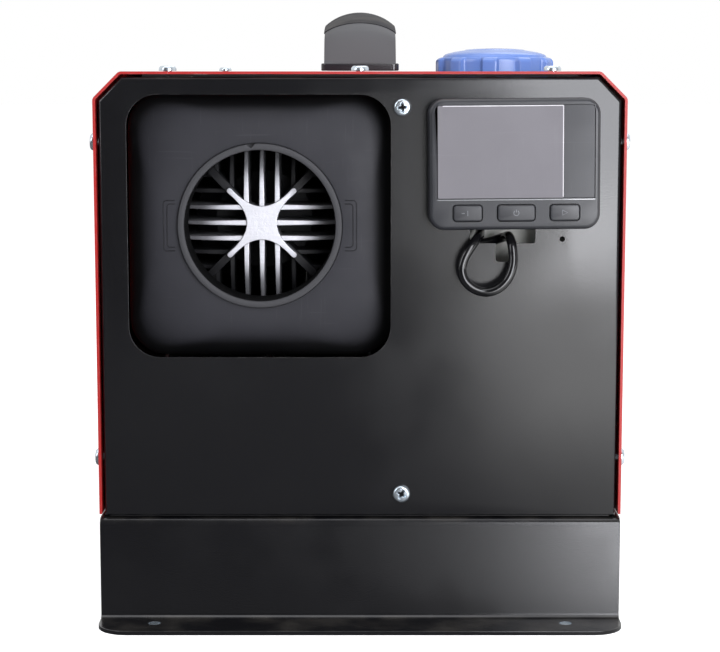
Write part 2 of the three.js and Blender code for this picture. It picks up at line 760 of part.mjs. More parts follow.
function floorTray() {
  const side = CASE_WIDTH / 2 - SHELL_SHEET - SEAT_GAP - FLOOR_SHEET / 2;
  const level = FLOOR_Z + FLOOR_SHEET / 2;
  const path = [[-side, level + FLOOR_UPTURN], [-side, level], [side, level], [side, level + FLOOR_UPTURN]];
  const end = -(PANEL_FACE_Y + PANEL_SHEET + SEAT_GAP);
  const tray = prismY(sheetProfile(path, FLOOR_SHEET, 1), -end, end);
  const relief = -(PANEL_FACE_Y + PANEL_RETURN + 1);
  const corners = signs.flatMap((x) => signs.map((y) => {
    const [x0, x1] = [x * (PANEL_INNER_X - 1), x * CASE_WIDTH].sort((a, b) => a - b);
    const [y0, y1] = [y * relief, y * CASE_DEPTH].sort((a, b) => a - b);
    return block(x0, x1, y0, y1, 0, CASE_TOP_Z);
  }));
  return cut(tray, corners, pipeBores(0, CASE_TOP_Z / 2));
}

function baseStand() {
  const level = STAND_SHEET / 2;
  const leg = REAR_Y - STAND_SHEET / 2;
  const reach = REAR_Y + FLANGE_DEPTH;
  const top = STAND_HEIGHT - level;
  const path = [[-reach, level], [-leg, level], [-leg, top], [leg, top], [leg, level], [reach, level]];
  const hat = prismX(sheetProfile(path, STAND_SHEET, STAND_BEND), -CASE_WIDTH / 2, CASE_WIDTH / 2);
  const plan = roundedRectangle(0, 0, CASE_WIDTH, 2 * reach, FLANGE_CORNER);
  const holeY = reach - FLANGE_HOLE_SETBACK;
  const holes = signs.flatMap((x) => signs.map(
    (y) => rodZ(FLANGE_HOLE / 2, -1, STAND_SHEET + 1, x * FLANGE_HOLE_X, y * holeY, 10),
  ));
  const blank = prismZ(plan, -1, STAND_HEIGHT + 1, { curveSegments: 3 });
  return cut(common(hat, blank), holes, pipeBores(-1, STAND_HEIGHT + 1));
}

function partitionPlate() {
  const middle = PARTITION_X + PARTITION_SHEET / 2;
  const end = -(PANEL_FACE_Y + PANEL_SHEET + SEAT_GAP + PARTITION_SHEET / 2);
  const tip = PARTITION_X - PARTITION_TAB_WIDTH;
  const bottom = FLOOR_TOP_Z + SEAT_GAP;
  const top = CASE_TOP_Z - PANEL_INSET - PANEL_SHEET - SEAT_GAP;
  const profile = sheetProfile([[tip, -end], [middle, -end], [middle, end], [tip, end]], PARTITION_SHEET, 1);
  const lipless = block(
    tip - 1, PARTITION_X, -CASE_DEPTH, CASE_DEPTH,
    PANEL_SCREW_Z[0] + PARTITION_TAB_EDGE, PANEL_SCREW_Z[1] - PARTITION_TAB_EDGE,
  );
  const screws = PANEL_SCREW_Z.map((z) => rodY(screwHole, -REAR_Y, REAR_Y, PANEL_SCREW_X, z, 6));
  const hoseHole = rodX(2 * HOSE_RADIUS, PARTITION_X - 2, PARTITION_X + 4, FILTER_Y, FILTER_Z, 16);
  return cut(prismZ(profile, bottom, top), lipless, screws, hoseHole);
}

/** A pan-head screw about +Z with its head's underside at 0. */
function screw() {
  return revolveUpright([
    [0, -SHANK_LENGTH],
    [SHANK_RADIUS, -SHANK_LENGTH],
    [SHANK_RADIUS, 0],
    [HEAD_RADIUS, 0],
    [HEAD_CROWN_RADIUS, HEAD_HEIGHT],
    [0, HEAD_HEIGHT],
  ], SCREW_SIDES);
}

function addScrew(name, x, y, z, tiltX, tiltY) {
  const mesh = piece(name, screw(), ZINC, heater);
  mesh.position.set(x, y, z);
  mesh.rotation.set(tiltX, tiltY, 0);
}

function addScrews() {
  const rows = ['front', 'rear'];
  screwRowsY.forEach((y, row) => {
    TOP_SCREW_X.forEach((x, i) => {
      addScrew(`top_screw_${rows[row]}_${i + 1}`, x, y, CASE_TOP_Z + SEAT_GAP, 0, 0);
    });
    SIDE_SCREW_Z.forEach((z, i) => {
      const x = CASE_WIDTH / 2 + SEAT_GAP;
      addScrew(`left_screw_${rows[row]}_${i + 1}`, -x, y, z, 0, -Math.PI / 2);
      addScrew(`right_screw_${rows[row]}_${i + 1}`, x, y, z, 0, Math.PI / 2);
    });
    PANEL_SCREW_Z.forEach((z, i) => {
      const outside = signs[row] * (SEAT_GAP - PANEL_FACE_Y);
      const turn = (-signs[row] * Math.PI) / 2;
      addScrew(`panel_screw_${rows[row]}_${i + 1}`, PANEL_SCREW_X, outside, z, turn, 0);
    });
  });
}

piece('outer_shell', outerShell(), RED_PAINT, heater);
piece('front_panel', frontPanel(), BLACK_PAINT, heater);
piece('rear_panel', rearPanel(), BLACK_PAINT, heater);
piece('floor_tray', floorTray(), BLACK_PAINT, heater);
piece('base_stand', baseStand(), BLACK_PAINT, heater);
piece('partition_plate', partitionPlate(), GALVANISED, heater);
addScrews();

// ---- heater core, drawn about its own Y axis ----

const core = new THREE.Group();
core.position.set(AXIS_X, CORE_Y, AXIS_Z);
heater.add(core);

const RING_POINTS = 32;

/** A ring of points on a square with round corners; a corner as large as the half gives a circle. */
function squareRing(half, corner, y) {
  const flat = half - corner;
  return Array.from({ length: RING_POINTS }, (_, i) => {
    const angle = (2 * Math.PI * (i + 0.5)) / RING_POINTS;
    const [across, along] = [Math.abs(Math.cos(angle)), Math.abs(Math.sin(angle))];
    const side = half / Math.max(across, along);
    const projected = flat * (across + along);
    const onArc = projected + Math.sqrt(Math.max(projected ** 2 - 2 * flat ** 2 + corner ** 2, 0));
    const radius = side * Math.min(across, along) <= flat ? side : onArc;
    return new THREE.Vector3(radius * Math.cos(angle), y, radius * Math.sin(angle));
  });
}

/** The hood's face: a quarter ellipse from its square edge to a flat ring round its hole. */
function hoodFace(half, corner, hole, edgeY, faceY) {
  const flat = hole + COLLAR_RIM;
  const dome = Array.from({ length: HOOD_STEPS + 1 }, (_, i) => {
    const turn = (Math.PI / 2) * (i / HOOD_STEPS);
    const inward = 1 - Math.cos(turn);
    return squareRing(
      THREE.MathUtils.lerp(half, flat, inward),
      THREE.MathUtils.lerp(corner, flat, inward),
      THREE.MathUtils.lerp(edgeY, faceY, Math.sin(turn)),
    );
  });
  return [...dome, squareRing(hole, hole, faceY)];
}

function outletHood() {
  const half = CORE_SIZE / 2;
  const back = CORE_FRONT - SEAT_GAP;
  const hole = COLLAR_OUTER / 2 + SEAT_GAP;
  const [edgeY, faceY] = [CASE_FRONT + HOOD_EDGE_DROP, CASE_FRONT + HOOD_FACE_DROP];
  const outside = hoodFace(half, CORE_CORNER, hole, edgeY, faceY);
  const inside = hoodFace(
    half - HOOD_WALL, CORE_CORNER - HOOD_WALL, hole, edgeY + HOOD_WALL, faceY + HOOD_WALL,
  );
  return loft([
    squareRing(half, CORE_CORNER, back),
    ...outside,
    ...inside.reverse(),
    squareRing(half - HOOD_WALL, CORE_CORNER - HOOD_WALL, back),
  ], true);
}

function outletCollar() {
  const [outer, inner] = [COLLAR_OUTER / 2, COLLAR_OUTER / 2 - COLLAR_WALL];
  const rimY = CASE_FRONT + HOOD_FACE_DROP + HOOD_WALL + SEAT_GAP;
  const lead = COLLAR_WALL / 3;
  const ring = revolve([
    [inner, COLLAR_FRONT_Y + lead],
    [inner + lead, COLLAR_FRONT_Y],
    [outer - lead, COLLAR_FRONT_Y],
    [outer, COLLAR_FRONT_Y + lead],
    [outer, rimY],
    [outer + COLLAR_RIM, rimY],
    [outer + COLLAR_RIM, rimY + COLLAR_RIM_THICKNESS],
    [outer, rimY + COLLAR_RIM_THICKNESS],
    [outer, COLLAR_FRONT_Y + COLLAR_LENGTH],
    [inner, COLLAR_FRONT_Y + COLLAR_LENGTH],
    [inner, COLLAR_FRONT_Y + lead],
  ], COLLAR_SIDES);
  const notch = polygon([
    [-COLLAR_NOTCH / 2, outer + 1],
    [0, inner + COLLAR_WALL / 3],
    [COLLAR_NOTCH / 2, outer + 1],
  ]);
  return cut(ring, prismY(notch, COLLAR_FRONT_Y - 1, COLLAR_FRONT_Y + COLLAR_NOTCH));
}

/** Half of the jacket between the hood and the cowl; side is 1 for the upper and -1 for the lower. */
function jacketHalf(side) {
  const outside = roundedRectangle(0, 0, CORE_SIZE, CORE_SIZE, CORE_CORNER);
  const inner = CORE_SIZE - 2 * JACKET_WALL;
  outside.holes.push(roundedRectangle(0, 0, inner, inner, CORE_CORNER - JACKET_WALL));
  const [z0, z1] = [(side * SEAT_GAP) / 2, side * CORE_SIZE].sort((a, b) => a - b);
  const half = block(-CORE_SIZE, CORE_SIZE, CORE_FRONT, CORE_REAR, z0, z1);
  const wall = common(prismY(outside, CORE_FRONT, CORE_REAR, { curveSegments: 2 }), half);
  return side < 0 ? cut(wall, portBores()) : wall;
}

/** Rods that clear the exhaust and air ports where they leave the core. */
function portBores() {
  return [
    rodZ(EXHAUST_RADIUS + PIPE_HOLE_PLAY, -CORE_SIZE, -CORE_SIZE / 4, 0, EXHAUST_Y),
    rodZ(INTAKE_RADIUS + PIPE_HOLE_PLAY, -CORE_SIZE, -CORE_SIZE / 4, 0, INTAKE_Y),
  ];
}

/** How far back the casting's rounded nose lies at a distance from the axis. */
function noseDepth(radius) {
  const share = THREE.MathUtils.clamp((radius - NOSE_RADIUS) / (EXCHANGER_RADIUS - NOSE_RADIUS), 0, 1);
  return NOSE_LENGTH * (1 - Math.sqrt(1 - share ** 2));
}

/** One fin of a quarter of the casting, from its diagonal out to the fin circle. */
function fin(index) {
  const offset = index * FIN_PITCH;
  const front = EXCHANGER_NOSE_Y + (Math.abs(index) > LONG_FINS_PER_HALF ? SHORT_FIN_DROP : 0);
  const start = Math.abs(offset);
  const end = Math.sqrt(EXCHANGER_RADIUS ** 2 - offset ** 2);
  const nose = Array.from({ length: NOSE_STEPS + 1 }, (_, i) => {
    const height = THREE.MathUtils.lerp(start, end, Math.sin((Math.PI / 2) * (i / NOSE_STEPS)));
    return [front + noseDepth(Math.hypot(offset, height)), height];
  });
  const outline = polygon([...nose, [EXCHANGER_FIN_REAR, end], [EXCHANGER_FIN_REAR, start]]);
  return prismX(outline, offset - FIN_THICKNESS / 2, offset + FIN_THICKNESS / 2);
}

/** The four sets of straight fins and the four diagonal ribs between them. */
function exchangerFins() {
  const fins = [];
  for (let quarter = 0; quarter < 4; quarter += 1) {
    const turn = (quarter * Math.PI) / 2;
    for (let index = -FINS_PER_HALF; index <= FINS_PER_HALF; index += 1) {
      fins.push(fin(index).rotateY(turn));
    }
    fins.push(fin(0).scale(ARM_TIP / FIN_THICKNESS, 1, 1).rotateY(turn + Math.PI / 4));
  }
  return fins;
}

/** The four-armed boss on the casting's nose, with hollow sides between its arms. */
function plateauOutline() {
  const outline = new THREE.Shape();
  const half = ARM_TIP / Math.SQRT2 / 2;
  const [near, far] = [ARM_SPAN - half, ARM_SPAN + half];
  const dipX = PLATEAU_WIDTH - near;
  const dipZ = PLATEAU_HEIGHT - near;
  outline.moveTo(-near, far);
  outline.quadraticCurveTo(0, dipZ, near, far);
  outline.lineTo(far, near);
  outline.quadraticCurveTo(dipX, 0, far, -near);
  outline.lineTo(near, -far);
  outline.quadraticCurveTo(0, -dipZ, -near, -far);
  outline.lineTo(-far, -near);
  outline.quadraticCurveTo(-dipX, 0, -far, near);
  return outline;
}

function heatExchanger() {
  const coreFront = EXCHANGER_NOSE_Y + EXCHANGER_CORE_SETBACK;
  const innerRadius = EXCHANGER_CORE_RADIUS - EXCHANGER_WALL;
  const cup = revolve([
    [0, coreFront],
    [EXCHANGER_CORE_RADIUS - EXCHANGER_CORE_BEVEL, coreFront],
    [EXCHANGER_CORE_RADIUS, coreFront + EXCHANGER_CORE_BEVEL],
    [EXCHANGER_CORE_RADIUS, EXCHANGER_REAR - EXCHANGER_FLANGE],
    [EXCHANGER_FLANGE_RADIUS, EXCHANGER_REAR - EXCHANGER_FLANGE],
    [EXCHANGER_FLANGE_RADIUS, EXCHANGER_REAR],
    [0, EXCHANGER_REAR],
  ], 16);
  const plateau = prismY(
    plateauOutline(), EXCHANGER_NOSE_Y - PLATEAU_PROUD, EXCHANGER_NOSE_Y + NOSE_LENGTH / 2,
    { curveSegments: 4 },
  );
  const port = rodZ(EXHAUST_RADIUS, -PORT_END, -innerRadius - 1, 0, EXHAUST_Y);
  const portBore = rodZ(EXHAUST_RADIUS - PIPE_WALL, -PORT_END - 1, -innerRadius / 2, 0, EXHAUST_Y);
  const chamber = rodY(innerRadius, coreFront + EXCHANGER_WALL * 2, EXCHANGER_REAR + 1, 0, 0, 16);
  return cut(join(exchangerFins(), cup, plateau, port), chamber, portBore);
}

function burnerTube() {
  const inner = BURNER_RADIUS - BURNER_WALL;
  const rim = EXCHANGER_CORE_RADIUS - EXCHANGER_WALL - SEAT_GAP;
  const end = EXCHANGER_REAR - SEAT_GAP;
  return revolve([
    [inner, end - BURNER_LENGTH],
    [BURNER_RADIUS, end - BURNER_LENGTH],
    [BURNER_RADIUS, end - BURNER_WALL],
    [rim, end - BURNER_WALL],
    [rim, end],
    [inner, end],
    [inner, end - BURNER_LENGTH],
  ], 16);
}

/** The cast housing of the combustion blower: a drum on arms, with its air port below. */
function blowerBody() {
  const front = EXCHANGER_REAR + SEAT_GAP;
  const back = front + BLOWER_LENGTH;
  const cavity = BLOWER_RADIUS - BLOWER_WALL;
  const shaftBore = MOTOR_SHAFT_RADIUS + 2 * SEAT_GAP;
  const drum = revolve([
    [BLOWER_EYE, front],
    [BLOWER_RADIUS, front],
    [BLOWER_RADIUS, back],
    [shaftBore, back],
    [shaftBore, back - BLOWER_WALL],
    [cavity, back - BLOWER_WALL],
    [cavity, front + BLOWER_WALL],
    [BLOWER_EYE, front + BLOWER_WALL],
    [BLOWER_EYE, front],
  ], 16);
  const [y0, y1] = [front + BLOWER_ARM, front + 2 * BLOWER_ARM];
  const reach = CORE_SIZE / 2 - JACKET_WALL - SEAT_GAP;
  const half = BLOWER_ARM / 2;
  const root = BLOWER_RADIUS - BLOWER_WALL / 2;
  const arms = [
    block(-reach, -root, y0, y1, -half, half),
    block(root, reach, y0, y1, -half, half),
    block(-half, half, y0, y1, root, reach),
  ];
  const port = rodZ(INTAKE_RADIUS, -PORT_END, -cavity - 1, 0, INTAKE_Y);
  const portBore = rodZ(INTAKE_RADIUS - PIPE_WALL, -PORT_END - 1, -cavity + 1, 0, INTAKE_Y);
  return cut(join(drum, arms, port), portBore);
}

function blowerMotor() {
  const start = EXCHANGER_REAR + BLOWER_LENGTH + 2 * SEAT_GAP;
  const end = start + MOTOR_LENGTH;
  const bore = MOTOR_SHAFT_RADIUS + 2 * SEAT_GAP;
  return revolve([
    [bore, start],
    [MOTOR_RADIUS, start],
    [MOTOR_RADIUS, end - MOTOR_NOSE_LENGTH],
    [MOTOR_NOSE_RADIUS, end - MOTOR_NOSE_LENGTH],
    [MOTOR_NOSE_RADIUS, end],
    [bore, end],
    [bore, start],
  ], 16);
}

function inletCowl() {
  const half = CORE_SIZE / 2;
  const start = CORE_REAR + SEAT_GAP;
  const neck = COWL_NECK_RADIUS;
  const wall = JACKET_WALL;
  return loft([
    squareRing(half, CORE_CORNER, start),
    squareRing(half, CORE_CORNER, COWL_SHOULDER),
    squareRing(neck, neck, COWL_NECK),
    squareRing(neck, neck, COWL_REAR),
    squareRing(neck - wall, neck - wall, COWL_REAR),
    squareRing(neck - wall, neck - wall, COWL_NECK),
    squareRing(half - wall, CORE_CORNER - wall, COWL_SHOULDER),
    squareRing(half - wall, CORE_CORNER - wall, start),
  ], true);
}

/** The circuit board on the motor's back, with its relay, capacitor and plug sockets. */
function controlBoard() {
  const base = MOTOR_RADIUS + SEAT_GAP;
  const top = base + BOARD_THICKNESS;
  const y0 = CORE_REAR - BOARD_LENGTH / 4;
  const y1 = y0 + BOARD_LENGTH;
  const half = BOARD_WIDTH / 2;
  const root = top - BOARD_OVERLAP;
  const front = y0 + PART_MARGIN;
  const sockets = [-SOCKET_PITCH, 0, SOCKET_PITCH].map((x) => block(
    x - SOCKET_WIDTH / 2, x + SOCKET_WIDTH / 2,
    y1 - SOCKET_MARGIN - SOCKET_DEPTH, y1 - SOCKET_MARGIN,
    root, top + SOCKET_HEIGHT,
  ));
  return join(
    block(-half, half, y0, y1, base, top),
    block(-RELAY_SIZE - PART_MARGIN, -PART_MARGIN, front, front + RELAY_SIZE, root, top + RELAY_HEIGHT),
    rodZ(CAPACITOR_RADIUS, root, top + CAPACITOR_HEIGHT, RELAY_SIZE, front + PART_MARGIN),
    sockets,
  );
}

// ---- rotor ----

/** One blade about +X: thin sections from the hub outwards, each turned a little flatter. */
function fanBlade() {
  const rings = Array.from({ length: BLADE_STATIONS }, (_, i) => {
    const share = i / (BLADE_STATIONS - 1);
    const radius = THREE.MathUtils.lerp(FAN_HUB_RADIUS - BLADE_ROOT_DEPTH, FAN_RADIUS, share);
    const pitch = BLADE_PITCH + BLADE_TWIST * share;
    const chord = THREE.MathUtils.lerp(BLADE_ROOT_CHORD, BLADE_TIP_CHORD, share);
    const along = new THREE.Vector3(0, Math.cos(pitch), Math.sin(pitch)).multiplyScalar(chord);
    const across = new THREE.Vector3(0, -Math.sin(pitch), Math.cos(pitch));
    const belly = across.clone().multiplyScalar(chord * BLADE_CAMBER);
    across.multiplyScalar(FAN_BLADE_THICKNESS / 2);
    const middle = new THREE.Vector3(radius, 0, 0);
    return [
      middle.clone().sub(along).sub(across),
      middle.clone().add(belly).sub(across),
      middle.clone().add(along).sub(across),
      middle.clone().add(along).add(across),
      middle.clone().add(belly).add(across),
      middle.clone().sub(along).add(across),
    ];
  });
  return loft(rings);
}

function fanWheel() {
  const half = FAN_WIDTH / 2;
  const [rim, wall] = [FAN_HUB_RADIUS - FAN_HUB_WALL, half - FAN_HUB_WALL];
  const bore = MOTOR_SHAFT_RADIUS + SEAT_GAP;
  const hub = revolve([
    [bore, -half],
    [bore + BOSS_WALL, -half],
    [bore + BOSS_WALL, wall],
    [rim, wall],
    [rim, -half],
    [FAN_HUB_RADIUS, -half],
    [FAN_HUB_RADIUS, wall],
    [rim, half],
    [bore, half],
    [bore, -half],
  ], FAN_HUB_SIDES);
  const blades = Array.from(
    { length: FAN_BLADES }, (_, i) => fanBlade().rotateY((2 * Math.PI * i) / FAN_BLADES),
  );
  return join(hub, blades);
}

/** The small radial wheel that feeds combustion air, with curved vanes on a back disc. */
function combustionWheel() {
  const bore = MOTOR_SHAFT_RADIUS + SEAT_GAP;
  const half = TURBINE_WIDTH / 2;
  const disc = sleeve(TURBINE_RADIUS, bore, half - TURBINE_DISC, half);
  const boss = sleeve(bore + BOSS_WALL, bore, -half, half);
  const vanes = Array.from({ length: TURBINE_BLADES }, (_, i) => {
    const [near, far] = [VANE_OFFSET - VANE_THICKNESS / 2, VANE_OFFSET + VANE_THICKNESS / 2];
    const vane = block(VANE_ROOT, TURBINE_RADIUS - 1, -half, half - TURBINE_DISC / 2, near, far);
    return vane.rotateY((2 * Math.PI * i) / TURBINE_BLADES);
  });
  return join(disc, boss, vanes);
}

piece('outlet_hood', outletHood(), BLACK_PLASTIC, core);
piece('outlet_collar', outletCollar(), BLACK_PLASTIC, core);
piece('heat_exchanger', heatExchanger(), CAST_ALUMINIUM, core);
piece('burner_tube', burnerTube(), STEEL, core);
piece('heater_jacket_upper', jacketHalf(1), BLACK_PLASTIC, core);
piece('heater_jacket_lower', jacketHalf(-1), BLACK_PLASTIC, core);
piece('blower_body', blowerBody(), CAST_ALUMINIUM, core);
piece('blower_motor', blowerMotor(), STEEL, core);
piece('inlet_cowl', inletCowl(), BLACK_PLASTIC, core);
piece('control_board', controlBoard(), CIRCUIT_GREEN, core);

const rotor = new THREE.Group();
core.add(rotor);
const turbineY = EXCHANGER_REAR + SEAT_GAP + BLOWER_LENGTH / 2;
piece('fan_wheel', fanWheel(), BLACK_PLASTIC, rotor).position.setY(FAN_CENTRE_Y);
piece('combustion_wheel', combustionWheel(), CAST_ALUMINIUM, rotor).position.setY(turbineY);
const shaft = rodY(MOTOR_SHAFT_RADIUS, turbineY - TURBINE_WIDTH, FAN_CENTRE_Y + FAN_WIDTH / 2 + 4, 0, 0, 16);
piece('motor_shaft', shaft, STEEL, rotor);

// ---- heater support, pipes and fuel line ----

/** A rod where the delivery hose passes up into the core. */
function fuelHole(bottom, top) {
  return rodZ(2 * HOSE_RADIUS, bottom, top, FUEL_INLET_X, CORE_Y + FUEL_INLET_Y);
}

function heaterShelf() {
  const reach = CORE_SIZE / 2 - SHELF_INSET;
  const [left, right] = [AXIS_X - reach, AXIS_X + reach];
  const foot = FLOOR_TOP_Z + SEAT_GAP + SHELF_SHEET / 2;
  const top = SHELF_TOP_Z - SHELF_SHEET / 2;
  const path = [
    [left - SHELF_FOOT, foot], [left, foot], [left, top],
    [right, top], [right, foot], [right + SHELF_FOOT, foot],
  ];
  const end = CORE_Y + CORE_REAR;
  const hat = prismY(sheetProfile(path, SHELF_SHEET, SHELF_SHEET), end - SHELF_LENGTH, end);
  const [below, above] = [SHELF_TOP_Z - 2 * SHELF_SHEET, SHELF_TOP_Z + 1];
  return cut(hat, pipeBores(below, above), fuelHole(below, above));
}

function mountingGasket() {
  const bottom = SHELF_TOP_Z + SEAT_GAP;
  const top = bottom + GASKET_THICKNESS;
  const width = CORE_SIZE - 2 * CORE_CORNER;
  const middleY = CORE_Y + CORE_REAR - SHELF_LENGTH / 2;
  const sheet = prismZ(roundedRectangle(AXIS_X, middleY, width, SHELF_LENGTH, GASKET_CORNER), bottom, top);
  return cut(sheet, pipeBores(bottom - 1, top + 1), fuelHole(bottom - 1, top + 1));
}

/** A pipe stub that hangs from a port of the core down into the stand. */
function pipeStub(radius) {
  const top = AXIS_Z - PORT_END - SEAT_GAP;
  const inner = radius - PIPE_WALL;
  return revolveUpright([
    [inner, PIPE_END_Z], [radius, PIPE_END_Z], [radius, top], [inner, top], [inner, PIPE_END_Z],
  ], 16);
}

/** The dosing pump about its own Y axis: a coil body between two stepped ends with hose nipples. */
function fuelPump() {
  const half = PUMP_LENGTH / 2;
  const body = half - PUMP_END_LENGTH;
  const end = [
    [NIPPLE_RADIUS, half + NIPPLE_LENGTH],
    [NIPPLE_RADIUS, half],
    [PUMP_END_RADIUS, half],
    [PUMP_END_RADIUS, body],
    [PUMP_RADIUS, body - PUMP_SHOULDER],
  ];
  const front = end.map(([radius, y]) => [radius, -y]);
  return revolve([[0, -half - NIPPLE_LENGTH], ...front, ...end.reverse(), [0, half + NIPPLE_LENGTH]], 12);
}

/** A rubber-lined band round the pump on a foot that stands on the floor. */
function pumpClamp() {
  const inner = PUMP_RADIUS + SEAT_GAP;
  const outer = inner + CLAMP_THICKNESS;
  const bottom = FLOOR_TOP_Z + SEAT_GAP - PUMP_Z;
  const half = CLAMP_WIDTH / 2;
  const band = sleeve(outer, inner, -half, half);
  const web = block(-CLAMP_THICKNESS, CLAMP_THICKNESS, -half, half, bottom, -inner - CLAMP_THICKNESS / 2);
  const foot = block(-outer, outer, -half, half, bottom, bottom + CLAMP_THICKNESS);
  return join(band, web, foot);
}

/** The in-line filter about its own X axis, with a hose nipple at each end. */
function fuelFilter() {
  const half = FILTER_LENGTH / 2;
  const neck = half - NIPPLE_LENGTH;
  const side = [[NIPPLE_RADIUS, half], [NIPPLE_RADIUS, neck], [FILTER_RADIUS, neck - 2]];
  const other = side.map(([radius, x]) => [radius, -x]);
  return revolve([[0, -half], ...other, ...side.reverse(), [0, half]], 12).rotateZ(Math.PI / 2);
}

function hose(route) {
  const curve = new THREE.CatmullRomCurve3(route.map((point) => new THREE.Vector3(...point)));
  return tube(route, HOSE_RADIUS, HOSE_SIDES, Math.ceil(curve.getLength() / HOSE_STEP));
}

function suctionRoute() {
  const start = REAR_Y - TANK_REAR_GAP + NIPPLE_LENGTH + SEAT_GAP;
  const end = FILTER_X + FILTER_LENGTH / 2 + SEAT_GAP;
  return [
    [NIPPLE_X, start, NIPPLE_Z],
    [NIPPLE_X, start + 6, NIPPLE_Z],
    [NIPPLE_X - 5, FILTER_Y - 2, NIPPLE_Z + 2],
    [PARTITION_X + 8, FILTER_Y, FILTER_Z],
    [end + 5, FILTER_Y, FILTER_Z],
    [end, FILTER_Y, FILTER_Z],
  ];
}

function pumpRoute() {
  const start = FILTER_X - FILTER_LENGTH / 2 - SEAT_GAP;
  const end = PUMP_Y + PUMP_LENGTH / 2 + NIPPLE_LENGTH + SEAT_GAP;
  return [
    [start, FILTER_Y, FILTER_Z],
    [start - 8, FILTER_Y, FILTER_Z],
    [PUMP_X + 18, FILTER_Y, PUMP_Z - 2],
    [PUMP_X + 4, FILTER_Y - 4, PUMP_Z],
    [PUMP_X, end + 5, PUMP_Z],
    [PUMP_X, end, PUMP_Z],
  ];
}

function deliveryRoute() {
  const start = PUMP_Y - PUMP_LENGTH / 2 - NIPPLE_LENGTH - SEAT_GAP;
  const end = CORE_Y + FUEL_INLET_Y;
  const top = CORE_BOTTOM_Z - SEAT_GAP;
  return [
    [PUMP_X, start, PUMP_Z],
    [PUMP_X, start - 8, PUMP_Z],
    [PUMP_X + 6, start - 24, PUMP_Z + 8],
    [FUEL_INLET_X, end + 6, SHELF_TOP_Z - 20],
    [FUEL_INLET_X, end, SHELF_TOP_Z - 8],
    [FUEL_INLET_X, end, top],
  ];
}

piece('heater_shelf', heaterShelf(), GALVANISED, heater);
piece('mounting_gasket', mountingGasket(), RUBBER, heater);
piece('exhaust_pipe', pipeStub(EXHAUST_RADIUS), STEEL, heater)
  .position.set(AXIS_X, CORE_Y + EXHAUST_Y, 0);
piece('air_intake_pipe', pipeStub(INTAKE_RADIUS), BLACK_PLASTIC, heater)
  .position.set(AXIS_X, CORE_Y + INTAKE_Y, 0);
piece('fuel_pump', fuelPump(), STEEL, heater).position.set(PUMP_X, PUMP_Y, PUMP_Z);
piece('pump_clamp', pumpClamp(), RUBBER, heater).position.set(PUMP_X, PUMP_Y, PUMP_Z);
piece('fuel_filter', fuelFilter(), MILKY_PLASTIC, heater).position.set(FILTER_X, FILTER_Y, FILTER_Z);
piece('suction_hose', hose(suctionRoute()), RUBBER, heater);
piece('pump_hose', hose(pumpRoute()), RUBBER, heater);
piece('delivery_hose', hose(deliveryRoute()), RUBBER, heater);

// ---- fuel tank and cap ----

/** A box with round upright corners and bevelled edges, drawn in by an inset. */
function tankBody(inset) {
  const [x0, x1] = [TANK_LEFT_X + inset, TANK_RIGHT_X - inset];
  const [y0, y1] = [FRONT_Y + TANK_FRONT_GAP + inset, REAR_Y - TANK_REAR_GAP - inset];
  const [z0, z1] = [TANK_BOTTOM_Z + inset, TANK_TOP_Z - inset];
  const corner = TANK_CORNER - inset;
  const plan = roundedRectangle((x0 + x1) / 2, (y0 + y1) / 2, x1 - x0, y1 - y0, corner);
  const bevel = corner / 2;
  return prismZ(plan, z0 + bevel, z1 - bevel, {
    bevelEnabled: true,
    bevelSize: bevel,
    bevelThickness: bevel,
    bevelOffset: -bevel,
    bevelSegments: 1,
  });
}

function fuelTank() {
  const neck = rodZ(NECK_OUTER / 2, TANK_TOP_Z - 2 * TANK_WALL, NECK_TOP_Z, NECK_X, NECK_Y, 20);
  const bore = rodZ(
    NECK_OUTER / 2 - NECK_WALL, TANK_TOP_Z - 4 * TANK_WALL, NECK_TOP_Z + 1, NECK_X, NECK_Y, 20,
  );
  const rear = REAR_Y - TANK_REAR_GAP;
  const nipple = rodY(NIPPLE_RADIUS, rear - TANK_WALL / 2, rear + NIPPLE_LENGTH, NIPPLE_X, NIPPLE_Z, 10);
  return cut(join(tankBody(0), neck, nipple), tankBody(TANK_WALL), bore);
}

/** The cap's outline: grip lobes that stand proud of a round wall. */
function lobedOutline() {
  const outline = new THREE.Shape();
  const pitch = (2 * Math.PI) / CAP_LOBES;
  for (let i = 0; i < CAP_LOBES; i += 1) {
    const start = i * pitch;
    const end = start + pitch * CAP_LOBE_SHARE;
    const slope = pitch * 0.07;
    outline.absarc(0, 0, CAP_RADIUS + CAP_LOBE_PROUD, start + slope, end - slope);
    outline.absarc(0, 0, CAP_RADIUS, end, start + pitch);
  }
  return outline;
}

function fuelCap() {
  const bevel = CAP_LOBE_PROUD;
  const bottom = -CAP_SKIRT_DEPTH;
  const grip = prismZ(lobedOutline(), bottom - bevel, CAP_SHOULDER_RISE - bevel, {
    bevelEnabled: true,
    bevelSize: bevel,
    bevelThickness: bevel,
    bevelOffset: -bevel,
    bevelSegments: 1,
    curveSegments: 1,
  });
  const crown = revolveUpright([
    [0, 0],
    [CAP_RADIUS - CAP_CROWN_STEP, 0],
    [CAP_RADIUS - CAP_CROWN_STEP, CAP_SHOULDER_RISE - CAP_CROWN_STEP],
    [CAP_CROWN_RADIUS, CAP_SHOULDER_RISE + CAP_CROWN_STEP],
    [CAP_TOP_RADIUS, CAP_RISE - CAP_CROWN_STEP],
    [0, CAP_RISE],
  ], 24);
  const below = block(-CASE_WIDTH, CASE_WIDTH, -CASE_DEPTH, CASE_DEPTH, -CASE_HEIGHT, bottom);
  const ceiling = NECK_RISE + SEAL_THICKNESS + 2 * SEAT_GAP;
  const inside = rodZ(CAP_RADIUS - CAP_WALL, bottom - 1, ceiling, 0, 0, 24);
  return cut(join(grip, crown), below, inside);
}

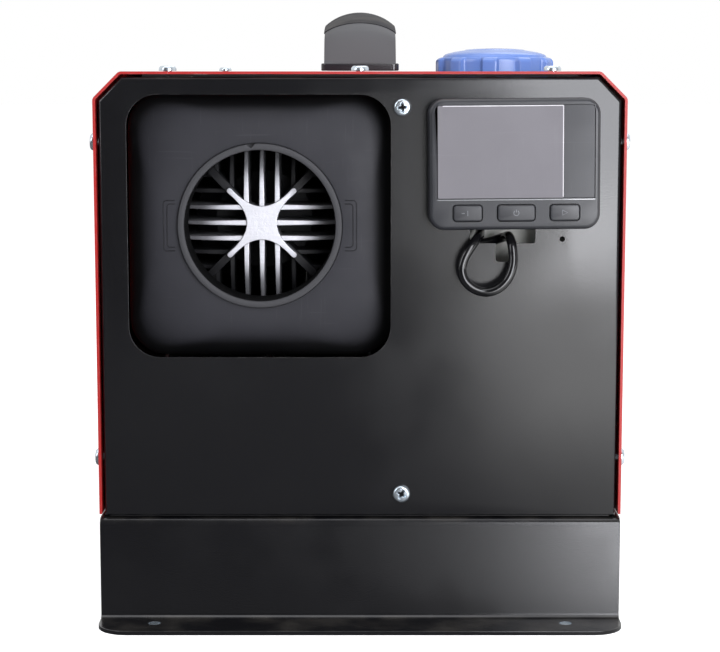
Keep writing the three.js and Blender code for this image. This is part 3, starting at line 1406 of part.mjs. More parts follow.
function capSeal() {
  const bottom = NECK_RISE + SEAT_GAP;
  const [outer, inner] = [CAP_RADIUS - CAP_WALL - SEAT_GAP, NECK_OUTER / 2 - 3 * NECK_WALL];
  const top = bottom + SEAL_THICKNESS;
  return revolveUpright([[inner, bottom], [outer, bottom], [outer, top], [inner, top], [inner, bottom]], 16);
}

piece('fuel_tank', fuelTank(), MILKY_PLASTIC, heater);
const filler = new THREE.Group();
filler.position.set(NECK_X, NECK_Y, CASE_TOP_Z);
heater.add(filler);
piece('fuel_cap', fuelCap(), BLUE_PLASTIC, filler);
piece('cap_seal', capSeal(), RUBBER, filler);

// ---- carrying handle, drawn on the case's top ----

/** The handle's edge line over the case, from foot to foot. */
function handleLine() {
  const half = HANDLE_SPAN / 2;
  const mid = HANDLE_EDGE_RISE - HANDLE_THICKNESS / 2;
  const foot = [HANDLE_PAD_CORNER - half, HANDLE_FOOT_HEIGHT / 2 + SEAT_GAP];
  const rising = [foot, ...HANDLE_RISERS.map(([setback, share]) => [setback - half, mid * share])];
  const falling = rising.map(([y, z]) => [-y, z]).reverse();
  return new THREE.CatmullRomCurve3(
    [...rising, [0, mid], ...falling].map(([y, z]) => new THREE.Vector3(0, y, z)),
  );
}

/** One cross-section of the grip: a crowned top over a hollow underside. */
function handleSection(line, share) {
  const middle = line.getPointAt(share);
  const heading = line.getTangentAt(share);
  const normal = new THREE.Vector3(0, -heading.z, heading.y);
  const height = middle.z / (HANDLE_EDGE_RISE - HANDLE_THICKNESS / 2);
  const crown = HANDLE_CROWN * height ** 1.5;
  const row = (offset, arch) => Array.from({ length: HANDLE_COLUMNS + 1 }, (_, i) => {
    const across = (2 * i) / HANDLE_COLUMNS - 1;
    const rise = offset + arch * (1 - across ** 2) - Math.abs(across) ** 5;
    const point = middle.clone().addScaledVector(normal, rise);
    return point.setX((across * HANDLE_GRIP_WIDTH) / 2);
  });
  const top = row(HANDLE_THICKNESS / 2, crown);
  const underside = row(HANDLE_HOLLOW - HANDLE_THICKNESS / 2, crown * HANDLE_UNDERSIDE).reverse();
  return [...top, ...underside];
}

function carryHandle() {
  const line = handleLine();
  const rings = Array.from(
    { length: HANDLE_STATIONS }, (_, i) => handleSection(line, i / (HANDLE_STATIONS - 1)),
  );
  const pads = signs.map((side) => {
    const middle = side * (HANDLE_SPAN - HANDLE_FOOT_LENGTH) / 2;
    const plan = roundedRectangle(0, middle, HANDLE_FOOT_WIDTH, HANDLE_FOOT_LENGTH, HANDLE_PAD_CORNER);
    return prismZ(plan, SEAT_GAP, HANDLE_FOOT_HEIGHT);
  });
  const below = block(-CASE_WIDTH, CASE_WIDTH, -CASE_DEPTH, CASE_DEPTH, -CASE_HEIGHT, SEAT_GAP);
  return cut(join(loft(rings), pads), below);
}

piece('carry_handle', carryHandle(), GREY_PLASTIC, heater).position.setZ(CASE_TOP_Z);

// ---- display, drawn about the middle of its back face, which looks along +Y ----

const BEZEL_BACK_Y = -DISPLAY_BACK_THICKNESS - SEAT_GAP;
const BEZEL_FACE_Y = BEZEL_BACK_Y - DISPLAY_BEZEL_THICKNESS;
const buttonX = (index) => WINDOW_SHIFT + (index - 1) * BUTTON_PITCH;

/** The outline of the hollow inside the display's two halves. */
function displayHollow() {
  const [width, height] = [DISPLAY_WIDTH - 2 * DISPLAY_WALL, DISPLAY_HEIGHT - 2 * DISPLAY_WALL];
  return roundedRectangle(0, 0, width, height, DISPLAY_CORNER - DISPLAY_WALL);
}

function displayBack() {
  const outside = roundedRectangle(0, 0, DISPLAY_WIDTH, DISPLAY_HEIGHT, DISPLAY_CORNER);
  const inside = displayHollow();
  const tray = prismY(outside, -DISPLAY_BACK_THICKNESS, 0);
  return cut(tray, prismY(inside, -DISPLAY_BACK_THICKNESS - 1, -DISPLAY_WALL));
}

function displayBezel() {
  const outside = roundedRectangle(0, 0, DISPLAY_WIDTH, DISPLAY_HEIGHT, DISPLAY_CORNER);
  const inside = displayHollow();
  const body = prismY(outside, BEZEL_FACE_Y + DISPLAY_BEVEL_DEPTH, BEZEL_BACK_Y, {
    bevelEnabled: true,
    bevelSize: DISPLAY_BEVEL,
    bevelThickness: DISPLAY_BEVEL_DEPTH,
    bevelOffset: -DISPLAY_BEVEL,
    bevelSegments: 2,
    curveSegments: 3,
  });
  const behind = block(-DISPLAY_WIDTH, DISPLAY_WIDTH, BEZEL_BACK_Y, 1, -DISPLAY_HEIGHT, DISPLAY_HEIGHT);
  const pocket = roundedRectangle(
    WINDOW_SHIFT, WINDOW_RAISE, WINDOW_WIDTH + 2 * SEAT_GAP, WINDOW_HEIGHT + 2 * SEAT_GAP, SEAT_GAP,
  );
  const ledge = 2 * WINDOW_LEDGE;
  const opening = roundedRectangle(
    WINDOW_SHIFT, WINDOW_RAISE, WINDOW_WIDTH - ledge, WINDOW_HEIGHT - ledge, 1,
  );
  const holes = BUTTON_WIDTHS.map((width, i) => prismY(
    roundedRectangle(
      buttonX(i), -BUTTON_DROP, width + 2 * BUTTON_PLAY, BUTTON_HEIGHT + 2 * BUTTON_PLAY,
      BUTTON_CORNER + BUTTON_PLAY,
    ),
    BEZEL_FACE_Y - 1, BEZEL_BACK_Y,
  ));
  return cut(
    body,
    behind,
    prismY(inside, BEZEL_FACE_Y + DISPLAY_WALL, 1),
    prismY(pocket, BEZEL_FACE_Y - 1, BEZEL_FACE_Y + WINDOW_THICKNESS + SEAT_GAP),
    prismY(opening, BEZEL_FACE_Y - 1, BEZEL_BACK_Y),
    holes,
  );
}

function button(width) {
  const face = BEZEL_FACE_Y - BUTTON_PROUD;
  const flangeY = BEZEL_FACE_Y + DISPLAY_WALL + SEAT_GAP;
  const edge = BUTTON_EDGE;
  const plan = roundedRectangle(0, 0, width, BUTTON_HEIGHT, BUTTON_CORNER);
  const stem = prismY(plan, face + edge, face + BUTTON_LENGTH, {
    bevelEnabled: true,
    bevelSize: edge,
    bevelThickness: edge,
    bevelOffset: -edge,
    bevelSegments: 1,
  });
  const brim = 2 * (BUTTON_PLAY + BUTTON_BRIM);
  const [halfWidth, halfHeight] = [(width + brim) / 2, (BUTTON_HEIGHT + brim) / 2];
  const [y0, y1] = [flangeY, flangeY + BUTTON_BRIM_THICKNESS];
  return join(stem, block(-halfWidth, halfWidth, y0, y1, -halfHeight, halfHeight));
}

const display = new THREE.Group();
display.position.set(DISPLAY_X, PANEL_FACE_Y - SEAT_GAP, DISPLAY_Z);
display.rotation.set(0, -DISPLAY_TILT, 0);
heater.add(display);

const windowPane = block(
  -WINDOW_WIDTH / 2, WINDOW_WIDTH / 2, 0, WINDOW_THICKNESS, -WINDOW_HEIGHT / 2, WINDOW_HEIGHT / 2,
);
const windowFilm = block(0, FILM_WIDTH, -FILM_THICKNESS, 0, -WINDOW_HEIGHT / 2, WINDOW_HEIGHT / 2);
piece('display_back', displayBack(), BLACK_PLASTIC, display);
piece('display_bezel', displayBezel(), GLOSS_PLASTIC, display);
piece('display_window', windowPane, GLOSS_PLASTIC, display)
  .position.set(WINDOW_SHIFT, BEZEL_FACE_Y, WINDOW_RAISE);
piece('window_film', windowFilm, FILM, display)
  .position.set(WINDOW_SHIFT - WINDOW_WIDTH / 2, BEZEL_FACE_Y - SEAT_GAP, WINDOW_RAISE);
['button_down', 'button_power', 'button_up'].forEach((name, i) => {
  piece(name, button(BUTTON_WIDTHS[i]), GLOSS_PLASTIC, display).position.set(buttonX(i), 0, -BUTTON_DROP);
});
piece('display_lead', tube(LEAD_ROUTE, LEAD_RADIUS, LEAD_SIDES, LEAD_STEPS), RUBBER, heater);

// ---- power gland in the rear panel, about its own Y axis ----

function powerGland() {
  const shank = GLAND_RADIUS - SCREW_HOLE_PLAY;
  return revolve([
    [GLAND_BORE_RADIUS, -PANEL_RETURN],
    [shank, -PANEL_RETURN],
    [shank, SEAT_GAP],
    [GLAND_NUT_RADIUS, SEAT_GAP],
    [GLAND_NUT_RADIUS, GLAND_NUT_LENGTH],
    [GLAND_DOME_RADIUS, GLAND_LENGTH],
    [GLAND_BORE_RADIUS, GLAND_LENGTH],
    [GLAND_BORE_RADIUS, -PANEL_RETURN],
  ], 12);
}

piece('power_gland', powerGland(), BLACK_PLASTIC, heater).position.set(GLAND_X, -PANEL_FACE_Y, GLAND_Z);

export default heater;
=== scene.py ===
"""Looks of a diesel air heater in a portable case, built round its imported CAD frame.

Metres, +Z up. The front with the hot air outlet faces -Y, and the origin is on the ground.
"""

import logging
import math
from abc import ABC, abstractmethod
from collections.abc import Callable, Iterable, Sequence
from dataclasses import dataclass
from enum import Enum

import bmesh
import bpy
from mathutils import Matrix, Vector


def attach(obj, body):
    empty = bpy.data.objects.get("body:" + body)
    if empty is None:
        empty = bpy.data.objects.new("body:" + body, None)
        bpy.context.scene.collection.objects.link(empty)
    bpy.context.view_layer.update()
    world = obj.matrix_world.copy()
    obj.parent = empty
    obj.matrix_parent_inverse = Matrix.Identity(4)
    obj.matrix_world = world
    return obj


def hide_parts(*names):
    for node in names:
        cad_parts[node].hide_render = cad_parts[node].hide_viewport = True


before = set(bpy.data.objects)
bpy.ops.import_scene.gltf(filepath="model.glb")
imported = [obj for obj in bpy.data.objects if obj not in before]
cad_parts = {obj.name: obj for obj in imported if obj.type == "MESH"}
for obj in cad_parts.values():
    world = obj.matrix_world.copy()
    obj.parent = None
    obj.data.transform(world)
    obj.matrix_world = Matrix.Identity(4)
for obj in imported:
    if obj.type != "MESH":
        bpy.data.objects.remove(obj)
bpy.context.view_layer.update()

log = logging.getLogger("heater")
logging.basicConfig(level=logging.INFO, format="%(name)s: %(message)s")

MM = 0.001

# X and Z of the hot air outlet's axis, which the hood, the collar and the casting share.
OUTLET_X = -45.6 * MM
OUTLET_Z = 183.2 * MM

# Angles in degrees. An edge over the first is rounded, or left sharp where a piece has no rounding.
# A CAD node is shaded smooth over edges up to the second. Under the third, two faces become one.
SHARP_ANGLE = 32.0
SMOOTH_ANGLE = 30.0
FLAT_ANGLE = 0.4
WELD_REACH = 0.002 * MM

BEAD_SIDES = 8
THINNEST = 0.01 * MM

Colour = tuple[float, float, float]
Pair = tuple[float, float]
Triple = tuple[float, float, float]
Outline = list[Pair]
Ring = list[Vector]
Mesh = bmesh.types.BMesh
Node = bpy.types.Node
Socket = bpy.types.NodeSocket


def paint(red: int, green: int, blue: int) -> Colour:
    """Turns a colour written from 0 to 255 into the linear values that a shader takes.

    Args:
        red: Red part.
        green: Green part.
        blue: Blue part.

    Returns:
        The three linear values.
    """
    parts = [part / 255 for part in (red, green, blue)]
    linear = [p / 12.92 if p <= 0.04045 else ((p + 0.055) / 1.055) ** 2.4 for p in parts]
    return (linear[0], linear[1], linear[2])


def opaque(colour: Colour) -> tuple[float, float, float, float]:
    """Adds full alpha to a colour.

    Args:
        colour: The colour.

    Returns:
        The colour with its alpha.
    """
    return (*colour, 1.0)


def darker(colour: Colour, share: float) -> Colour:
    """Takes a share of a colour's light.

    Args:
        colour: The colour.
        share: How much of it is left.

    Returns:
        The darker colour.
    """
    return tuple(part * share for part in colour)


def paler(colour: Colour, gain: float, lift: float) -> Colour:
    """Brightens a colour, as a scratch in plastic does.

    Args:
        colour: The colour.
        gain: What each part is multiplied by.
        lift: What is added to it then.

    Returns:
        The paler colour.
    """
    return tuple(min(1.0, part * gain + lift) for part in colour)


def grey(value: float) -> Colour:
    """Makes a linear grey.

    Args:
        value: Its brightness.

    Returns:
        The colour.
    """
    return (value, value, value)


BARE_STEEL = paint(150, 148, 146)
DUST_ON_PAINT = paint(150, 144, 134)
DUST_ON_PLASTIC = paint(158, 152, 142)
SCRATCHED_ZINC = paint(226, 228, 232)
COPPER_TRACK = paint(74, 128, 78)
SOLDER = paint(196, 198, 200)


# ---- wiring of shader nodes ----


class Step(Enum):
    """Arithmetic that the node trees use."""

    ADD = "ADD"
    SUBTRACT = "SUBTRACT"
    MULTIPLY = "MULTIPLY"
    MAXIMUM = "MAXIMUM"
    GREATER = "GREATER_THAN"


class Wiring:
    """Adds nodes to one node tree and links them."""

    def __init__(self, tree: bpy.types.NodeTree) -> None:
        """Keeps the tree.

        Args:
            tree: The node tree of a material or a group.
        """
        self.tree = tree

    def feed(self, name: str, value: Socket | float | Sequence[float]) -> None:
        """Feeds one input of a material's Principled BSDF.

        Args:
            name: The input's name.
            value: Its value, or the socket that it comes from.
        """
        target = self.tree.nodes["Principled BSDF"].inputs[name]
        if isinstance(value, Socket):
            self.tree.links.new(value, target)
        else:
            target.default_value = value

    def add(self, kind: str, settings: dict | None = None, inputs: dict | None = None) -> Node:
        """Adds one node.

        Args:
            kind: The node's type name.
            settings: Properties to set on it.
            inputs: Values or sockets by input name or number.

        Returns:
            The new node.
        """
        node = self.tree.nodes.new(kind)
        for name, value in (settings or {}).items():
            setattr(node, name, value)
        for key, value in (inputs or {}).items():
            if isinstance(value, Socket):
                self.tree.links.new(value, node.inputs[key])
            else:
                node.inputs[key].default_value = value
        return node

    def math(self, step: Step, first: Socket | float, second: Socket | float) -> Socket:
        """Does one step of arithmetic. The result isn't clamped.

        Args:
            step: Which arithmetic.
            first: First number.
            second: Second number.

        Returns:
            The result.
        """
        node = self.add("ShaderNodeMath", {"operation": step.value}, {0: first, 1: second})
        return node.outputs[0]

    def ramp(
        self, value: Socket, low: float, high: float, start: float = 0.0, end: float = 1.0
    ) -> Socket:
        """Maps a value smoothly from one range onto another.

        Args:
            value: The value.
            low: Where the range starts.
            high: Where the range ends.
            start: Result at the start.
            end: Result at the end.

        Returns:
            The mapped value.
        """
        node = self.add(
            "ShaderNodeMapRange",
            {"interpolation_type": "SMOOTHSTEP"},
            {"Value": value, "From Min": low, "From Max": high, "To Min": start, "To Max": end},
        )
        return node.outputs["Result"]

    def mix(self, share: Socket | float, under: Socket | Colour, over: Socket | Colour) -> Socket:
        """Blends two colours.

        Args:
            share: How much of the upper colour shows.
            under: Lower colour.
            over: Upper colour.

        Returns:
            The blended colour.
        """
        node = self.add("ShaderNodeMix", {"data_type": "RGBA"}, {"Factor": share})
        for index, colour in ((6, under), (7, over)):
            if isinstance(colour, Socket):
                self.tree.links.new(colour, node.inputs[index])
            else:
                node.inputs[index].default_value = opaque(colour)
        return node.outputs[2]

    def place(self) -> Socket:
        """Finds the point on the piece.

        Returns:
            The point in the piece's own frame, in metres.
        """
        return self.add("ShaderNodeTexCoord").outputs["Object"]

    def stretched(self, scale: Triple) -> Socket:
        """Finds the point on the piece with each axis scaled by itself.

        Args:
            scale: The scale of each axis.

        Returns:
            The scaled point.
        """
        node = self.add(
            "ShaderNodeMapping", {"vector_type": "POINT"}, {"Vector": self.place(), "Scale": scale}
        )
        return node.outputs["Vector"]

    def facing(self, axis: str) -> Socket:
        """Finds how far the surface faces along an axis.

        Args:
            axis: X, Y or Z.

        Returns:
            That part of the normal, from -1 to 1.
        """
        normal = self.add("ShaderNodeNewGeometry").outputs["Normal"]
        return self.add("ShaderNodeSeparateXYZ", None, {0: normal}).outputs[axis]

    def noise(self, scale: Socket | float, detail: float = 2.0, at: Socket | None = None) -> Socket:
        """Adds soft noise.

        Args:
            scale: Lumps per metre.
            detail: How many finer layers it has.
            at: Where it is read, or None for the piece's own frame.

        Returns:
            The noise, about 0.5.
        """
        node = self.add(
            "ShaderNodeTexNoise", None,
            {"Vector": at or self.place(), "Scale": scale, "Detail": detail, "Roughness": 0.55},
        )
        return node.outputs["Fac"]


# ---- effects that several finishes share ----


@dataclass(frozen=True)
class Effect:
    """A shader node group with named inputs and outputs, built once.

    Attributes:
        name: The group's name.
        inputs: Its inputs with their values.
        outputs: Its outputs.
        draw: Wires the group from its inputs and gives its outputs.
    """

    name: str
    inputs: tuple[tuple[str, float], ...]
    outputs: tuple[str, ...]
    draw: Callable[[Wiring, dict[str, Socket]], dict[str, Socket]]

    def group(self) -> bpy.types.NodeTree:
        """Finds the group, or builds it the first time.

        Returns:
            The node group.
        """
        found = bpy.data.node_groups.get(self.name)
        if found:
            return found
        tree = bpy.data.node_groups.new(self.name, "ShaderNodeTree")
        for name, value in self.inputs:
            socket = tree.interface.new_socket(name, in_out="INPUT", socket_type="NodeSocketFloat")
            socket.default_value = value
        for name in self.outputs:
            tree.interface.new_socket(name, in_out="OUTPUT", socket_type="NodeSocketFloat")
        wiring = Wiring(tree)
        given = wiring.add("NodeGroupInput").outputs
        made = self.draw(wiring, {name: given[name] for name, _ in self.inputs})
        wiring.add("NodeGroupOutput", None, made)
        return tree

    def put(self, wiring: Wiring, **values: float) -> bpy.types.NodeOutputs:
        """Places the group in a material.

        Args:
            wiring: The material's wiring.
            **values: Values for the inputs, in lower case.

        Returns:
            The group's outputs.
        """
        inputs = {name: values[name.lower()] for name, _ in self.inputs if name.lower() in values}
        return wiring.add("ShaderNodeGroup", {"node_tree": self.group()}, inputs).outputs


def draw_orange_peel(wiring: Wiring, given: dict[str, Socket]) -> dict[str, Socket]:
    """Draws powder coat: soft dimples with a finer grit, and slow changes of gloss.

    Args:
        wiring: The group's wiring.
        given: The group's inputs.

    Returns:
        The group's outputs.
    """
    dimples = wiring.noise(given["Scale"], 1.0)
    grit = wiring.noise(wiring.math(Step.MULTIPLY, given["Scale"], 3.1), 2.0)
    height = wiring.math(Step.ADD, dimples, wiring.math(Step.MULTIPLY, grit, 0.35))
    patches = wiring.ramp(wiring.noise(14.0, 3.0), 0.35, 0.65)
    return {"Height": height, "Patches": patches, "Grit": wiring.ramp(grit, 0.3, 0.7)}


def draw_edge_wear(wiring: Wiring, given: dict[str, Socket]) -> dict[str, Socket]:
    """Finds edges where the coat is rubbed, broken up by noise.

    Args:
        wiring: The group's wiring.
        given: The group's inputs.

    Returns:
        The group's outputs.
    """
    rounded = wiring.add("ShaderNodeBevel", {"samples": 4}, {"Radius": given["Width"]}).outputs[0]
    flat = wiring.add("ShaderNodeNewGeometry").outputs["Normal"]
    likeness = wiring.add("ShaderNodeVectorMath", {"operation": "DOT_PRODUCT"}, {0: rounded, 1: flat})
    edge = wiring.ramp(likeness.outputs["Value"], 0.985, 0.86)
    broken = wiring.ramp(wiring.noise(160.0, 4.0), 0.42, 0.62)
    rubbed = wiring.math(Step.MULTIPLY, wiring.math(Step.MULTIPLY, edge, broken), given["Amount"])
    return {"Mask": rubbed}


def draw_dust(wiring: Wiring, given: dict[str, Socket]) -> dict[str, Socket]:
    """Lays a thin dust on faces that look up, in soft drifts.

    Args:
        wiring: The group's wiring.
        given: The group's inputs.

    Returns:
        The group's outputs.
    """
    drift = wiring.ramp(wiring.noise(given["Scale"], 5.0), 0.4, 0.75)
    mask = wiring.math(Step.MULTIPLY, wiring.ramp(wiring.facing("Z"), 0.2, 0.95), drift)
    return {"Mask": wiring.math(Step.MULTIPLY, mask, given["Amount"])}


def draw_moulding(wiring: Wiring, given: dict[str, Socket]) -> dict[str, Socket]:
    """Draws the fine spark-eroded texture of moulded plastic and its slow mottling.

    Args:
        wiring: The group's wiring.
        given: The group's inputs.

    Returns:
        The group's outputs.
    """
    pits = wiring.add(
        "ShaderNodeTexVoronoi", {"feature": "SMOOTH_F1"},
        {"Vector": wiring.place(), "Scale": given["Scale"], "Smoothness": 0.7},
    ).outputs["Distance"]
    grit = wiring.noise(wiring.math(Step.MULTIPLY, given["Scale"], 1.7), 3.0)
    mottle = wiring.ramp(wiring.noise(22.0, 4.0), 0.32, 0.7)
    return {"Height": wiring.math(Step.ADD, pits, grit), "Mottle": mottle}


def draw_casting(wiring: Wiring, given: dict[str, Socket]) -> dict[str, Socket]:
    """Draws the skin of a die casting: lumps, pits and stains.

    Args:
        wiring: The group's wiring.
        given: The group's inputs.

    Returns:
        The group's outputs.
    """
    lumps = wiring.noise(given["Scale"], 6.0)
    pits = wiring.ramp(wiring.noise(wiring.math(Step.MULTIPLY, given["Scale"], 2.3), 2.0), 0.62, 0.8)
    height = wiring.math(Step.SUBTRACT, lumps, wiring.math(Step.MULTIPLY, pits, 0.6))
    return {"Height": height, "Stain": wiring.ramp(wiring.noise(60.0, 5.0), 0.38, 0.66)}


def draw_rubbing(wiring: Wiring, given: dict[str, Socket]) -> dict[str, Socket]:
    """Draws hairline scratches in two directions and the smears of handling.

    Args:
        wiring: The group's wiring.
        given: The group's inputs.

    Returns:
        The group's outputs.
    """
    lines = []
    for stretch in ((30.0, 30.0, 900.0), (1100.0, 40.0, 60.0)):
        hair = wiring.noise(1.0, 2.0, wiring.stretched(stretch))
        lines.append(wiring.ramp(hair, 0.66, 0.74))
    scratches = wiring.math(Step.MULTIPLY, wiring.math(Step.MAXIMUM, lines[0], lines[1]), given["Amount"])
    return {"Scratches": scratches, "Smears": wiring.ramp(wiring.noise(34.0, 3.0), 0.35, 0.7)}


ORANGE_PEEL = Effect("orange_peel", (("Scale", 1500.0),), ("Height", "Patches", "Grit"), draw_orange_peel)
EDGE_WEAR = Effect("edge_wear", (("Width", 0.0006), ("Amount", 1.0)), ("Mask",), draw_edge_wear)
DUST = Effect("dust", (("Scale", 40.0), ("Amount", 1.0)), ("Mask",), draw_dust)
MOULDING = Effect("moulding", (("Scale", 1600.0),), ("Height", "Mottle"), draw_moulding)
CASTING = Effect("casting", (("Scale", 700.0),), ("Height", "Stain"), draw_casting)
RUBBING = Effect("rubbing", (("Amount", 1.0),), ("Scratches", "Smears"), draw_rubbing)


# ---- finishes ----


@dataclass(frozen=True)
class Finish(ABC):
    """One finish of the heater: a material with its own node tree.

    Attributes:
        name: The material's name.
        slot: The record's slot that it belongs to; not used.
        colour: Its main colour.
        roughness: How matt it is.
    """

    name: str
    slot: str
    colour: Colour
    roughness: float

    def material(self) -> bpy.types.Material:
        """Finds the material, or builds it the first time.

        Returns:
            The material.
        """
        found = bpy.data.materials.get(self.name)
        if found:
            return found
        material = bpy.data.materials.new(self.name)
        material.use_nodes = True
        self.dress(Wiring(material.node_tree))
        return material

    @abstractmethod
    def dress(self, wiring: Wiring) -> None:
        """Wires the finish's nodes into the material's shader.

        Args:
            wiring: The material's wiring.
        """

    def gloss(self, wiring: Wiring, share: Socket, spread: float) -> None:
        """Varies the roughness about its value.

        Args:
            wiring: The material's wiring.
            share: A mask from 0 to 1.
            spread: How far the roughness swings.
        """
        low, high = self.roughness - spread, self.roughness + spread
        wiring.feed("Roughness", wiring.ramp(share, 0.0, 1.0, low, high))

    def relief(self, wiring: Wiring, height: Socket, depth: float) -> None:
        """Raises the surface by a height mask.

        Args:
            wiring: The material's wiring.
            height: The height from 0 to 1.
            depth: The full height in metres.
        """
        bump = wiring.add("ShaderNodeBump", None, {"Height": height, "Distance": depth, "Strength": 1.0})
        wiring.feed("Normal", bump.outputs["Normal"])

    def tint(self, wiring: Wiring, colour: Socket) -> None:
        """Feeds the base colour.

        Args:
            wiring: The material's wiring.
            colour: The colour.
        """
        wiring.feed("Base Color", colour)


@dataclass(frozen=True)
class PowderCoat(Finish):
    """Powder-coated sheet steel, with bare metal where its edges are rubbed.

    Attributes:
        shade: The darker colour of its dimples.
        specular: How strongly the coat reflects.
        wear: How much of its edges is rubbed.
        dusty: How much dust lies on it.
        spread: How far the roughness swings.
        depth: How deep its dimples are, in metres.
    """

    shade: Colour
    specular: float
    wear: float
    dusty: float = 0.1
    spread: float = 0.035
    depth: float = 0.014 * MM

    def dress(self, wiring: Wiring) -> None:
        """Wires orange peel, edge wear and dust.

        Args:
            wiring: The material's wiring.
        """
        peel = ORANGE_PEEL.put(wiring)
        rubbed = EDGE_WEAR.put(wiring, amount=self.wear)["Mask"]
        settled = DUST.put(wiring, amount=self.dusty)["Mask"]
        coat = wiring.mix(peel["Grit"], self.shade, self.colour)
        worn = wiring.mix(rubbed, coat, BARE_STEEL)
        self.tint(wiring, wiring.mix(settled, worn, DUST_ON_PAINT))
        self.gloss(wiring, peel["Patches"], self.spread)
        self.relief(wiring, peel["Height"], self.depth)
        wiring.feed("Specular IOR Level", self.specular)


@dataclass(frozen=True)
class Galvanised(Finish):
    """Galvanised or zinc-plated steel with a spangle of crystals and fine rubbing.

    Attributes:
        spangle: Crystals per metre.
        contrast: How much darker the darkest crystal is.
        depth: How deep the smears are, in metres.
        metallic: Share of metal.
    """

    spangle: float = 190.0
    contrast: float = 0.28
    depth: float = 0.02 * MM
    metallic: float = 0.92

    def dress(self, wiring: Wiring) -> None:
        """Wires the spangle, scratches and smears.

        Args:
            wiring: The material's wiring.
        """
        spot = {"Vector": wiring.place(), "Scale": self.spangle}
        cells = wiring.add("ShaderNodeTexVoronoi", None, spot)
        crystal = wiring.add("ShaderNodeSeparateXYZ", None, {0: cells.outputs["Color"]}).outputs["X"]
        rubbing = RUBBING.put(wiring)
        zinc = wiring.mix(crystal, darker(self.colour, 1 - self.contrast), self.colour)
        self.tint(wiring, wiring.mix(rubbing["Scratches"], zinc, SCRATCHED_ZINC))
        self.gloss(wiring, wiring.ramp(crystal, 0.0, 1.0), self.contrast / 3)
        self.relief(wiring, rubbing["Smears"], self.depth)
        wiring.feed("Metallic", self.metallic)


@dataclass(frozen=True)
class Casting(Finish):
    """Die-cast aluminium: a dark rough skin, and, about an axis, a front painted bright as lit.

    Attributes:
        axis: X and Z of the axis about which the front gets painted light, or None for none.
        fade: Radii between which the painted light fades out.
        bright: Colour of the painted light.
        tilt: Y of the normal between which a face takes the painted light.
        depth: How deep the cast skin is, in metres.
        metallic: Share of metal.
    """

    axis: Pair | None = None
    fade: Pair = (0.029, 0.016)
    bright: Colour = grey(0.8)
    tilt: Pair = (-0.25, -0.6)
    depth: float = 0.12 * MM
    metallic: float = 0.3

    def painted_light(self, wiring: Wiring) -> Socket:
        """Masks the painted light: faces towards the front near the axis, fading outwards.

        Args:
            wiring: The material's wiring.

        Returns:
            The mask.
        """
        flattened = wiring.add(
            "ShaderNodeVectorMath", {"operation": "MULTIPLY"}, {0: wiring.place(), 1: (1.0, 0.0, 1.0)}
        ).outputs[0]
        centre = (self.axis[0], 0.0, self.axis[1])
        radius = wiring.add(
            "ShaderNodeVectorMath", {"operation": "DISTANCE"}, {0: flattened, 1: centre}
        ).outputs["Value"]
        outward = wiring.ramp(wiring.facing("Y"), *self.tilt)
        return wiring.math(Step.MULTIPLY, wiring.ramp(radius, *self.fade), outward)

    def dress(self, wiring: Wiring) -> None:
        """Wires the skin and its stains, and, about an axis, the painted light with faint streaks in it.

        Args:
            wiring: The material's wiring.
        """
        skin = CASTING.put(wiring)
        cast = wiring.mix(skin["Stain"], darker(self.colour, 0.55), self.colour)
        wiring.feed("Metallic", self.metallic)
        self.relief(wiring, skin["Height"], self.depth)
        if self.axis is None:
            self.tint(wiring, cast)
            self.gloss(wiring, skin["Stain"], 0.06)
            return
        # Painted light: the front near the axis is tinted bright, as if lit through the outlet, with faint
        # streaks in it.
        marks = wiring.ramp(wiring.noise(1.0, 3.0, wiring.stretched((60.0, 60.0, 1500.0))), 0.3, 0.7)
        cut = wiring.mix(marks, darker(self.bright, 0.93), self.bright)
        mask = self.painted_light(wiring)
        self.tint(wiring, wiring.mix(mask, cast, cut))
        smoother = wiring.ramp(mask, 0.0, 1.0, self.roughness, self.roughness - 0.12)
        wiring.feed("Roughness", smoother)


@dataclass(frozen=True)
class Turned(Finish):
    """Turned or drawn steel with fine rings and light staining.

    Attributes:
        stretch: How each axis is scaled, so that the rings lie across Y.
        depth: How deep the rings are, in metres.
        metallic: Share of metal.
    """

    stretch: Triple = (80.0, 2600.0, 80.0)
    depth: float = 0.02 * MM
    metallic: float = 0.95

    def dress(self, wiring: Wiring) -> None:
        """Wires the turning marks and stains.

        Args:
            wiring: The material's wiring.
        """
        rings = wiring.ramp(wiring.noise(1.0, 2.0, wiring.stretched(self.stretch)), 0.3, 0.7)
        stains = wiring.ramp(wiring.noise(70.0, 5.0), 0.4, 0.7)
        steel = wiring.mix(rings, darker(self.colour, 0.8), self.colour)
        self.tint(wiring, wiring.mix(stains, steel, darker(self.colour, 0.62)))
        self.gloss(wiring, stains, 0.08)
        self.relief(wiring, rings, self.depth)
        wiring.feed("Metallic", self.metallic)


